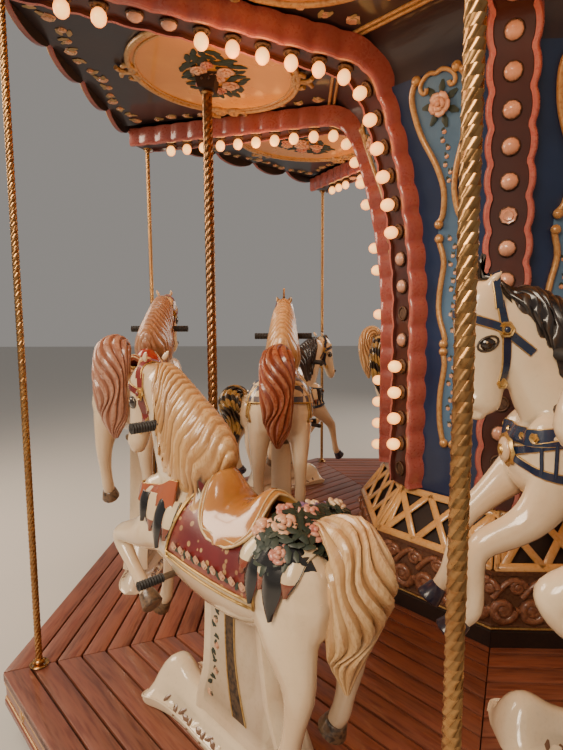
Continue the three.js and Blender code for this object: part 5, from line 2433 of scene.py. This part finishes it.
@dataclass
class DeckBay:
    """One sector of the turning deck, drawn about the +X axis with its top at height 0."""

    edge: float = flat_of(2.64)
    start: float = 0.25
    pitch: float = 0.0951
    gap: float = 0.009
    thickness: float = 0.045
    rim_depth: float = 0.11

    def model(self) -> Piece:
        """Lay the boards across the sector on a near-black underlay that paints shade into the gaps, and fix
        the rim board.
        """
        dice = random.Random(21)
        slope = tan(HALF_BAY)
        parts = []
        count = round((self.edge - self.start) / self.pitch)
        for i in range(count):
            near = self.start + self.pitch * i + self.gap / 2
            far = self.edge if i == count - 1 else near + self.pitch - self.gap
            outline = [
                (near, -near * slope + 0.002),
                (far, -far * slope + 0.002),
                (far, far * slope - 0.002),
                (near, near * slope - 0.002),
            ]
            board = plate(outline, -0.034, -0.0005 - 0.001 * dice.random(), 0.003, BOARD)
            stamp(board.data, 3.0 * dice.random())
            parts.append(board)
        wedge = [
            (self.start, -self.start * slope),
            (self.edge - 0.002, -self.edge * slope),
            (self.edge - 0.002, self.edge * slope),
        ]
        # Painted shade: the sub-deck under the boards is near-black so that the gaps between them read as
        # shade.
        parts.append(plate([*wedge, (self.start, self.start * slope)], -self.thickness, -0.035, 0.0, KICK_AND_SHADE))
        parts += self.rim(slope)
        return join("deck_boards", parts)

    def rim(self, slope: float) -> list[Piece]:
        """Build the moulded rim board with its gold line."""
        low = -self.thickness - self.rim_depth
        face = self.edge
        rows = [(low, face - 0.008), (low + 0.008, face), (low + 0.03, face), (low + 0.036, face - 0.007)]
        rows += [(-0.045, face - 0.007), (-0.039, face), (-0.010, face), (-0.005, face - 0.004)]
        back = face - 0.03
        sections = [
            [(x, -x * slope, z), (x, x * slope, z), (back, back * slope, z), (back, -back * slope, z)]
            for z, x in rows
        ]
        parts = [loft(sections, [RIM_RED])]
        for z in (low + 0.042, -0.051):
            x = face - 0.005
            parts.append(moulding([(x, -x * slope, z), (x, x * slope, z)], 0.004, GILT))
        for i in range(5):
            y = (i - 2) * 0.40
            parts.append(wear(rosette((face - 0.008, y, low + 0.075), (1, 0, 0), 0.024, 0.007, 8), GILT))
        return parts


@dataclass
class Pedestal:
    """A moulded pedestal in a horse's frame: a boat-shaped foot with a curled prow, and a flared column."""

    column_half: float = 0.060
    top: float = 0.78
    bore: float = 0.030
    bore_foot: float = 0.05
    crest: Sequence[Row] = (
        (-0.378, 0.020, 0.030),
        (-0.345, 0.055, 0.068),
        (-0.28, 0.085, 0.092),
        (-0.18, 0.105, 0.100),
        (0.00, 0.112, 0.102),
        (0.15, 0.100, 0.100),
        (0.22, 0.096, 0.098),
        (0.29, 0.118, 0.102),
        (0.34, 0.148, 0.112),
        (0.385, 0.164, 0.126),
        (0.425, 0.150, 0.142),
        (0.455, 0.112, 0.140),
        (0.475, 0.066, 0.104),
        (0.485, 0.025, 0.050),
    )
    front: Sequence[Pair] = ((0.0, 0.195), (0.15, 0.200), (0.26, 0.168), (0.46, 0.155), (0.78, 0.140))
    back: Sequence[Pair] = ((0.0, -0.33), (0.15, -0.288), (0.29, -0.215), (0.46, -0.185), (0.78, -0.150))

    def along(self, line: Sequence[Pair], place: float) -> float:
        """Return the value of a line of pairs at a place, eased between its points."""
        for (a, low), (b, high) in zip(line, line[1:]):
            if place <= b:
                share = min(max((place - a) / (b - a), 0.0), 1.0)
                return low + (high - low) * share
        return line[-1][1]

    def foot(self) -> Piece:
        """Build the hollow-sided foot, with a wave that swells to the front and ends in two corners."""
        profile = (
            (0.0, 1.0),
            (0.16, 0.985),
            (0.32, 0.90),
            (0.48, 0.70),
            (0.62, 0.47),
            (0.78, 0.31),
            (0.92, 0.235),
            (0.99, 0.19),
            (1.0, 0.11),
            (0.97, 0.0),
        )
        sections = []
        for x, tall, half in flowing(self.crest, 2):
            points = [(x, half * y, tall * z) for y, z in profile]
            points += [(x, -half * y, tall * z) for y, z in reversed(profile[1:])]
            sections.append(points)
        return loft(sections, [PEDESTAL])

    def half_at(self, z: float) -> float:
        """Return half the column's width at a height: it widens towards the foot."""
        return self.column_half - 0.004 + 0.016 * max(1 - (z - 0.10) / 0.30, 0.0) ** 2

    def column(self) -> Piece:
        """Build the column with rolled front and back edges, and bore it for the lifting rod."""
        sections = []
        count = 18
        for i in range(count + 1):
            z = 0.10 + (self.top - 0.10) * i / count
            front, back = self.along(self.front, z), self.along(self.back, z)
            half = self.half_at(z)
            roll = half * 0.97
            outline = [
                (front, 0.0),
                (front - 0.004, roll * 0.6),
                (front - 0.018, roll),
                (front - 0.036, roll),
                (front - 0.050, half * 0.86),
            ]
            outline += [
                (back + 0.050, half * 0.86),
                (back + 0.036, roll),
                (back + 0.018, roll),
                (back + 0.004, roll * 0.6),
                (back, 0.0),
            ]
            points = [(x, y, z) for x, y in outline]
            points += [(x, -y, z) for x, y in reversed(outline[1:-1])]
            sections.append(points)
        column = loft(sections, [PEDESTAL])
        fresh()
        bpy.ops.mesh.primitive_cylinder_add(
            vertices=20, radius=self.bore, depth=1.0, location=(0, 0, self.bore_foot + 0.5)
        )
        cutter = settle(bpy.context.object, "bore_cutter")
        modify(column, "BOOLEAN", operation="DIFFERENCE", object=cutter, solver="EXACT")
        bpy.data.objects.remove(cutter)
        return smooth(column, 35)

    def band(self, side: int) -> list[Piece]:
        """Lay the dark band, painted shade where the slot down the column lies, and the vine strip on one
        side of the column.
        """
        rows = []
        for i in range(17):
            z = 0.17 + (self.top - 0.20) * i / 17
            lean = -0.055 * max(1 - (z - 0.17) / 0.26, 0.0) ** 2
            face = self.half_at(z) * 0.86 * side
            proud = face + 0.0022 * side
            half = 0.024 + 0.010 * max(1 - (z - 0.17) / 0.20, 0.0)
            rows.append(
                [
                    (lean - half, proud, z),
                    (lean + half, proud, z),
                    (lean + half, face, z),
                    (lean - half, face, z),
                ]
            )
        # Painted shade: a near-black strip standing for the slot down the column's side.
        parts = [loft(rows, [PAINTED_SHADE])]
        edges = ([row[0] for row in rows], [row[1] for row in rows])
        for edge in edges:
            parts.append(moulding(edge, 0.0028, TRIM))
        dice = random.Random(31)
        for i in range(11):
            z = 0.185 + 0.031 * i
            front = self.along(self.front, z)
            y = (self.half_at(z) * 0.86 + 0.0012) * side
            x = front - 0.078 + 0.009 * sin(i * 1.7)
            if i % 3 == 0:
                parts.append(wear(rosette((x, y, z), (0, side, 0), 0.013, 0.004), BLOSSOM))
            for _ in range(2):
                spot = (x + 0.016 * (dice.random() - 0.5), y, z + 0.012 * dice.random())
                parts.append(wear(leaf(spot, (0, side, 0), 0.014, dice.random() * tau), LEAF))
        return parts

    def model(self) -> Piece:
        """Build the pedestal with its scrolls."""
        parts = [self.foot(), self.column()]
        for side in (1, -1):
            parts += self.band(side)
            edge = [(x, half * 0.985 * side, tall * 0.21) for x, tall, half in flowing(self.crest[1:-1], 3)]
            parts.append(moulding(edge, 0.0055, PEDESTAL))
            for i in range(22):
                x = -0.26 + 0.029 * i
                tall, half = self.along([(a, b) for a, b, _ in self.crest], x), self.along(
                    [(a, c) for a, _, c in self.crest], x
                )
                share = (0.80, 0.90, 0.85)[i % 3]
                spot = (x, half * share * side, tall * (0.30, 0.245, 0.27)[i % 3])
                finish = PEDESTAL_DARK if i % 5 else PEDESTAL
                parts.append(wear(leaf(spot, (0, side, 1.2), 0.023, 1.1 * i), finish))
        return join("pedestal", parts)


@dataclass
class Poles:
    """The slim corner poles and the stout poles between paired horses, of twisted brass, above the deck."""

    slim: float = 0.015
    stout: float = 0.029
    slim_top: float = 2.7375
    stout_place: float = (OUTER_RANK + INNER_RANK) / 2

    def twist(
        self,
        radius: float,
        low: float,
        high: float,
        pitch: float,
        lobes: int,
        columns: int,
        step: float,
        finish: Finish,
    ) -> Piece:
        """Build a twisted bar.

        Args:
            radius: half its thickness over the strands.
            low: height of its foot.
            high: height of its top.
            pitch: length of one full turn.
            lobes: strands in it.
            columns: points round a strand.
            step: distance between its sections.
            finish: its finish.
        """
        sections = []
        count = round((high - low) / step)
        total = lobes * columns
        for i in range(count + 1):
            z = low + (high - low) * i / count
            spin = tau * z / pitch
            points = []
            for j in range(total):
                angle = tau * j / total
                dip = 0.86 + 0.14 * abs(sin(lobes * angle / 2)) ** 0.7
                points.append((radius * dip * cos(angle + spin), radius * dip * sin(angle + spin), z))
            sections.append(points)
        return smooth(loft(sections, [finish]), 70)

    def flange(self, radius: float, low: float, up: bool, bolts: int = 4) -> list[Piece]:
        """Build a foot or head flange with a collar and bolts."""
        sign = 1 if up else -1
        heights = sorted((low, low + sign * 0.008))
        parts = [wear(rod((0, 0, heights[0]), (0, 0, heights[1]), radius, 24), BRASS)]
        collar = sorted((low + sign * 0.008, low + sign * 0.026))
        parts.append(wear(rod((0, 0, collar[0]), (0, 0, collar[1]), radius * 0.58, 20), BRASS))
        for i in range(bolts):
            angle = tau * (i + 0.5) / bolts
            x, y = radius * 0.78 * cos(angle), radius * 0.78 * sin(angle)
            ends = sorted((low + sign * 0.008, low + sign * 0.013))
            parts.append(wear(rod((x, y, ends[0]), (x, y, ends[1]), radius * 0.11, 6), CHROME))
        return parts

    def corner_pole(self) -> Piece:
        """Build a slim pole with its flanges."""
        pole = self.twist(self.slim, 0.004, self.slim_top - 0.002, 0.124, 5, 4, 0.0150, BRASS)
        parts = [
            pole, *self.flange(0.040, 0.0008, True), *self.flange(0.034, self.slim_top - 0.0008, False)
        ]
        return join("corner_pole", parts)

    def between_pole(self, ceiling: CeilingBay) -> Piece:
        """Build a stout pole with its foot and the dark bracket under the ceiling."""
        x = self.stout_place
        under = ceiling.underside(x)
        bracket_foot = ceiling.underside(x - 0.045) - 0.095
        pole = self.twist(self.stout, 0.006, bracket_foot + 0.004, 0.170, 4, 5, 0.0145, COPPERY_SHADED_BRASS)
        parts = [pole, *self.flange(0.058, 0.0008, True, 6)]
        rows = []
        for drop, long, wide in (
            (0.0, 0.070, 0.060),
            (0.012, 0.070, 0.060),
            (0.018, 0.062, 0.054),
            (0.080, 0.048, 0.052),
            (0.0945, 0.044, 0.050),
        ):
            corners = ((long, wide), (-long, wide), (-long, -wide), (long, -wide))
            rows.append([(a, b, ceiling.underside(x + a) - 0.0008 - drop) for a, b in corners])
        parts.append(loft(rows, [KICK_AND_SHADE]))
        for side in (1, -1):
            for a in (0.02, -0.02):
                bolt = rod((a, side * 0.051, under - 0.05), (a, side * 0.058, under - 0.05), 0.008, 6)
                parts.append(wear(bolt, CHROME))
        collar = rod((0, 0, bracket_foot - 0.018), (0, 0, bracket_foot + 0.002), 0.036, 20)
        parts.append(wear(collar, BRASS))
        pole = join("between_pole", parts)
        pole.data.transform(Matrix.Translation((x, 0, 0)))
        return pole


@dataclass
class RoundingBoard:
    """One side of the ring of boards at the ceiling's edge, drawn about the +X axis."""

    face: float = flat_of(2.70)
    half: float = 2.70 * sin(HALF_BAY)
    low: float = 2.83
    high: float = 3.33
    thickness: float = 0.03
    scallops: int = 5
    drop: float = 0.07

    def edge(self) -> list[Pair]:
        """Return across and height of the scalloped lower edge, from one end to the other."""
        points = []
        width = 2 * self.half / self.scallops
        for i in range(self.scallops):
            for j in range(8):
                share = j / 8
                dip = sin(pi * share) ** 0.6
                points.append((-self.half + width * (i + share), self.low + self.drop * (1 - dip)))
        points.append((self.half, self.low + self.drop))
        return points

    def model(self) -> Piece:
        """Build the board with its mouldings, painted cartouche, scrolls and corner shell."""
        outline = [(y, z) for y, z in self.edge()] + [(self.half, self.high), (-self.half, self.high)]
        board = plate(outline, 0.0, self.thickness, 0.003, BOARD_RED)
        paint(board, KICK_AND_SHADE, lambda face: face.normal.z < -0.9)
        turn = Matrix(((0, 0, 1, self.face - self.thickness), (1, 0, 0, 0), (0, 1, 0, 0), (0, 0, 0, 1)))
        board.data.transform(turn)
        parts = [board]
        x = self.face
        line = [(x, y, z + 0.014) for y, z in self.edge()]
        parts.append(moulding(line, 0.009, GILT))
        inner = [(x, y * 0.985, z + 0.042) for y, z in self.edge()]
        parts.append(moulding(inner, 0.004, GILT))
        for height, radius in ((self.high - 0.014, 0.014), (self.high - 0.055, 0.005), (2.955, 0.006)):
            parts.append(moulding([(x, -self.half, height), (x, self.half, height)], radius, GILT))
        for i in range(self.scallops):
            middle = -self.half + 2 * self.half / self.scallops * (i + 0.5)
            parts.append(wear(rosette((x, middle, 2.893), (1, 0, 0), 0.026, 0.010, 6), GILT))
        parts += self.cartouche(x, 3.115)
        for side in (1, -1):
            post = side * (self.half - 0.03)
            parts.append(moulding([(x, post, 2.97), (x, post, 3.27)], 0.008, GILT))
            root = side * (self.half - 0.13)
            for i in range(5):
                angle = radians(-60 + 30 * i)
                tip = (x + 0.004, root + 0.085 * sin(angle), 3.07 + 0.105 * cos(angle))
                parts.append(moulding([(x + 0.004, root, 3.05), tip], 0.013, GILT))
            parts.append(wear(blob((x + 0.004, root, 3.045), (0.016, 0.026, 0.022)), GILT))
        return join("rounding_board", parts)

    def cartouche(self, x: float, height: float) -> list[Piece]:
        """Build the framed blue oval with roses, between acanthus scrolls."""
        count = 40
        ring = []
        for i in range(count):
            angle = tau * i / count
            wave = 1 + 0.05 * cos(4 * angle)
            ring.append((0.36 * wave * cos(angle), 0.115 * wave * sin(angle)))
        rim = [(x + 0.004, y, height + z) for y, z in ring]
        root = [(x - 0.001, y, height + z) for y, z in ring]
        middle = [(x + 0.006, y * 0.5, height + z * 0.5) for y, z in ring]
        centre = [(x + 0.007, y * 0.01, height + z * 0.01) for y, z in ring]
        parts = [loft([root, rim, middle, centre], [PANEL_BLUE], capped=False)]
        parts.append(moulding(rim, 0.012, GILT, closed=True))
        for y, z, size in (
            (0, 0, 0.05),
            (0.085, -0.02, 0.036),
            (-0.085, -0.02, 0.036),
            (0.15, 0.01, 0.024),
            (-0.15, 0.01, 0.024),
        ):
            parts.append(
                wear(
                    rose((x + 0.004, y, height + z), (1, 0, 0), size, 0.024),
                    ROSE_PALE if size > 0.04 else ROSE,
                )
            )
        dice = random.Random(3)
        for i in range(22):
            y = 0.24 * cos(i * 1.9)
            spot = (x + 0.007, y, height + 0.05 * sin(i * 2.3))
            parts.append(wear(leaf(spot, (1, 0, 0), 0.026, dice.random() * tau), LEAF))
        for side in (1, -1):
            for lift, wide in ((0.045, 0.075), (-0.05, 0.06)):
                curl = [(0.50 + u, lift + v) for u, v in spiral(-1.1 if lift > 0 else 1.1, wide, 0.018, 16)]
                parts.append(moulding([(x + 0.004, side * u, height + v) for u, v in curl], 0.011, GILT))
            stem = [(0.40 + 0.36 * t, 0.05 * sin(tau * t)) for t in [i / 12 for i in range(13)]]
            parts.append(moulding([(x + 0.004, side * u, height + v) for u, v in stem], 0.009, GILT))
            for i in range(5):
                spot = (x + 0.003, side * (0.52 + 0.06 * i), height + 0.045 * sin(2.2 * i))
                parts.append(wear(leaf(spot, (1, 0, 0), 0.045, side * (0.6 - 0.3 * i)), GILT))
        return parts


@dataclass
class RoofBay:
    """One side of the pointed roof of striped boards, drawn about the +X axis."""

    corner: float = 2.78
    eave: float = 3.331
    eave_height: float = 0.06
    peak: float = 4.35
    cap: float = 0.26
    shell: float = 0.035
    stripes: int = 6

    def model(self) -> Piece:
        """Build the striped slope with its battens, ridge roll and eave moulding."""
        slope_foot = self.eave + self.eave_height
        sections = []
        for i in range(13):
            share = i / 12
            corner = self.corner + (self.cap - self.corner) * share
            face = flat_of(corner) - 0.001
            z = slope_foot + (self.peak - slope_foot) * share
            half = face * tan(HALF_BAY)
            top = []
            for j in range(self.stripes):
                for k in (0.0, 0.5):
                    crown = 0.0 if k == 0.0 else -0.004
                    top.append((face, half * (2 * (j + k) / self.stripes - 1), z + crown))
            top.append((face, half, z))
            sections.append([*top, (face, half, z - self.shell), (face, -half, z - self.shell)])
        finishes = []
        for j in range(self.stripes):
            finishes += [ROOF_CREAM if j % 2 else ROOF_RED] * 2
        finishes += [KICK_AND_SHADE, KICK_AND_SHADE, KICK_AND_SHADE]
        parts = [loft(sections, finishes)]
        face = flat_of(self.corner) - 0.002
        half = face * tan(HALF_BAY)
        fascia = []
        for z, out in (
            (self.eave, -0.010), (self.eave + 0.012, 0.0), (self.eave + 0.048, 0.0), (slope_foot, -0.006)
        ):
            x = face + out
            wide = x * tan(HALF_BAY)
            fascia.append(strip_section(x, wide, z, 0.05))
        parts.append(loft(fascia, [BOARD_RED]))
        x = face - 0.008
        parts.append(moulding([(x, -half, self.eave + 0.030), (x, half, self.eave + 0.030)], 0.009, GILT))
        low, high = Vector((flat_of(self.corner), 0, slope_foot)), Vector((flat_of(self.cap), 0, self.peak))
        for j in range(1, self.stripes):
            share = 2 * j / self.stripes - 1
            run = []
            for end in (low, high):
                run.append((end.x - 0.006, end.x * tan(HALF_BAY) * share, end.z + 0.001))
            parts.append(moulding(run, 0.007, GILT))
        turn = Matrix.Rotation(HALF_BAY, 4, "Z")
        ridge = [
            tuple(turn @ Vector((r, 0, z)))
            for r, z in ((self.corner - 0.018, slope_foot - 0.003), (self.cap - 0.01, self.peak - 0.003))
        ]
        parts.append(moulding(ridge, 0.014, GILT))
        return join("roof_side", parts)

    def finial(self) -> Piece:
        """Turn the cap and the gilded finial."""
        profile = (
            (0.255, -0.06),
            (0.262, -0.02),
            (0.20, 0.005),
            (0.120, 0.02),
            (0.088, 0.03),
            (0.070, 0.075),
            (0.060, 0.10),
            (0.076, 0.112),
            (0.060, 0.122),
            (0.084, 0.155),
            (0.0875, 0.19),
            (0.074, 0.235),
            (0.045, 0.262),
            (0.034, 0.275),
            (0.040, 0.285),
            (0.026, 0.30),
            (0.016, 0.36),
            (0.006, 0.413),
        )
        sections = []
        for radius, z in profile:
            sections.append(
                [(radius * cos(tau * j / 24), radius * sin(tau * j / 24), self.peak + z) for j in range(24)]
            )
        return loft(sections, [GILT])


def build_platform() -> None:
    """Build the deck, pedestals, poles, rounding boards and roof, and set them round the ride."""
    deck, pedestal = DeckBay().model(), Pedestal().model()
    poles, board, roof = Poles(), RoundingBoard().model(), RoofBay()
    corner_pole, between_pole = poles.corner_pole(), poles.between_pole(CeilingBay())
    slope, finial = roof.model(), roof.finial()
    up = Matrix.Translation((0, 0, DECK))
    for bay in range(BAYS):
        turn = up @ Matrix.Rotation(bay * BAY_ANGLE, 4, "Z")
        corner = turn @ Matrix.Rotation(HALF_BAY, 4, "Z") @ Matrix.Translation((POLE_RANK, 0, 0))
        number = bay + 1
        floor = copy_piece(deck, f"deck_boards_{number}", turn, "turntable", bay * 2.3)
        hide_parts(f"deck_sector_{number}")
        ranks = (OUTER_RANK, INNER_RANK) if is_pair(bay) else (SINGLE_RANK,)
        for place, radius in zip(("outer", "inner"), ranks):
            stand = turn @ Matrix.Translation((radius, 0, 0)) @ Matrix.Rotation(-pi / 2, 4, "Z")
            copy_piece(
                pedestal,
                f"pedestal_{place}_{number}",
                stand,
                "turntable",
                bay * 1.7 + radius,
            )
        pole = copy_piece(
            corner_pole, f"corner_pole_{number}", corner, "turntable", bay * 0.6
        )
        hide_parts(f"outer_pole_{number}")
        if is_pair(bay):
            pole = copy_piece(
                between_pole, f"between_pole_{number}", turn, "turntable", bay * 0.4
            )
            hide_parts(f"hand_pole_{number}")
        edge = copy_piece(board, f"rounding_board_{number}", turn, "turntable", bay * 1.9)
        side = copy_piece(slope, f"roof_side_{number}", turn, "turntable", bay * 1.2)
        if bay == 0:
            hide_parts("rounding_boards")
            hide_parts("roof")
        LOG.info("bay %d: deck, pedestals, poles, board and roof", number)
    copy_piece(finial, "roof_finial", up, "turntable")
    for proto in (deck, pedestal, board, corner_pole, between_pole, slope, finial):
        bpy.data.objects.remove(proto)


# The studio


@dataclass
class Studio:
    """Floor, lights and the camera at the photographed viewpoint."""

    eye: Point = (-1.181, -3.031, 1.734)
    heading: float = 92.05
    pitch: float = 6.18
    roll: float = -0.26
    lens: float = 25.07
    glow_place: Pair = (1.55, 2.42)  # of the lamps' own light: from the axis, and over the deck
    glow_power: float = 12.0
    glow_colour: Colour = (1.0, 0.50, 0.20)

    def build(self) -> None:
        """Make the floor, the world, the lamps of the studio and the camera."""
        fresh()
        bpy.ops.mesh.primitive_plane_add(size=60)
        floor = settle(bpy.context.object, "studio_floor")
        pale = bpy.data.materials.new("pale_floor")
        pale.use_nodes = True
        shader = pale.node_tree.nodes["Principled BSDF"]
        shader.inputs["Base Color"].default_value = (0.62, 0.6, 0.57, 1)
        shader.inputs["Roughness"].default_value = 0.85
        floor.data.materials.append(pale)
        world = bpy.data.worlds.new("studio")
        world.use_nodes = True
        back = world.node_tree.nodes["Background"]
        back.inputs["Color"].default_value = (0.92, 0.86, 0.8, 1)
        back.inputs["Strength"].default_value = 0.30
        bpy.context.scene.world = world
        self.soft_box("key_light", (-3.4, -5.2, 4.4), (-0.6, -0.6, 1.0), 2.4, 300, (1.0, 0.82, 0.62))
        self.soft_box("side_light", (-5.5, 0.5, 3.6), (-1.0, 0.0, 1.0), 2.4, 170, (1.0, 0.80, 0.60))
        self.soft_box("far_light", (3.5, 5.0, 4.0), (0.0, 0.0, 1.4), 4.0, 220, (1.0, 0.88, 0.74))
        for bay in range(BAYS):
            turn = (bay + 0.5) * BAY_ANGLE
            glow = bpy.data.lights.new(f"lamp_glow_{bay + 1}", "POINT")
            glow.energy = self.glow_power
            glow.color = self.glow_colour
            glow.shadow_soft_size = 0.15
            lamp = bpy.data.objects.new(glow.name, glow)
            out, up = self.glow_place
            lamp.location = (out * cos(turn), out * sin(turn), DECK + up)
            lamp.visible_camera = False
            lamp.visible_glossy = False
            bpy.context.scene.collection.objects.link(lamp)
        self.camera()

    def soft_box(
        self, name: str, place: Point, target: Point, size: float, power: float, colour: Colour
    ) -> None:
        """Hang a square soft light at a place, turned to its target."""
        light = bpy.data.lights.new(name, "AREA")
        light.size = size
        light.energy = power
        light.color = colour
        box = bpy.data.objects.new(name, light)
        box.location = place
        box.rotation_euler = (Vector(target) - Vector(place)).to_track_quat("-Z", "Y").to_euler()
        bpy.context.scene.collection.objects.link(box)

    def camera(self) -> None:
        """Set the camera at the photographed eye point."""
        data = bpy.data.cameras.new("camera")
        data.lens = self.lens
        camera = bpy.data.objects.new("camera", data)
        turn, down = radians(self.heading), radians(self.pitch)
        ahead = Vector((cos(turn) * cos(down), sin(turn) * cos(down), -sin(down)))
        level = ahead.to_track_quat("-Z", "Y").to_matrix()
        camera.rotation_euler = (level @ Matrix.Rotation(radians(self.roll), 3, "Z")).to_euler()
        camera.location = self.eye
        bpy.context.scene.collection.objects.link(camera)
        bpy.context.scene.camera = camera


def main() -> None:
    """Build the ride in order."""
    logging.basicConfig(level=logging.INFO, format="%(message)s")
    Studio().build()
    dress_nodes()
    build_platform()
    build_drum()
    stand_horses()


if __name__ == "__main__":
    main()
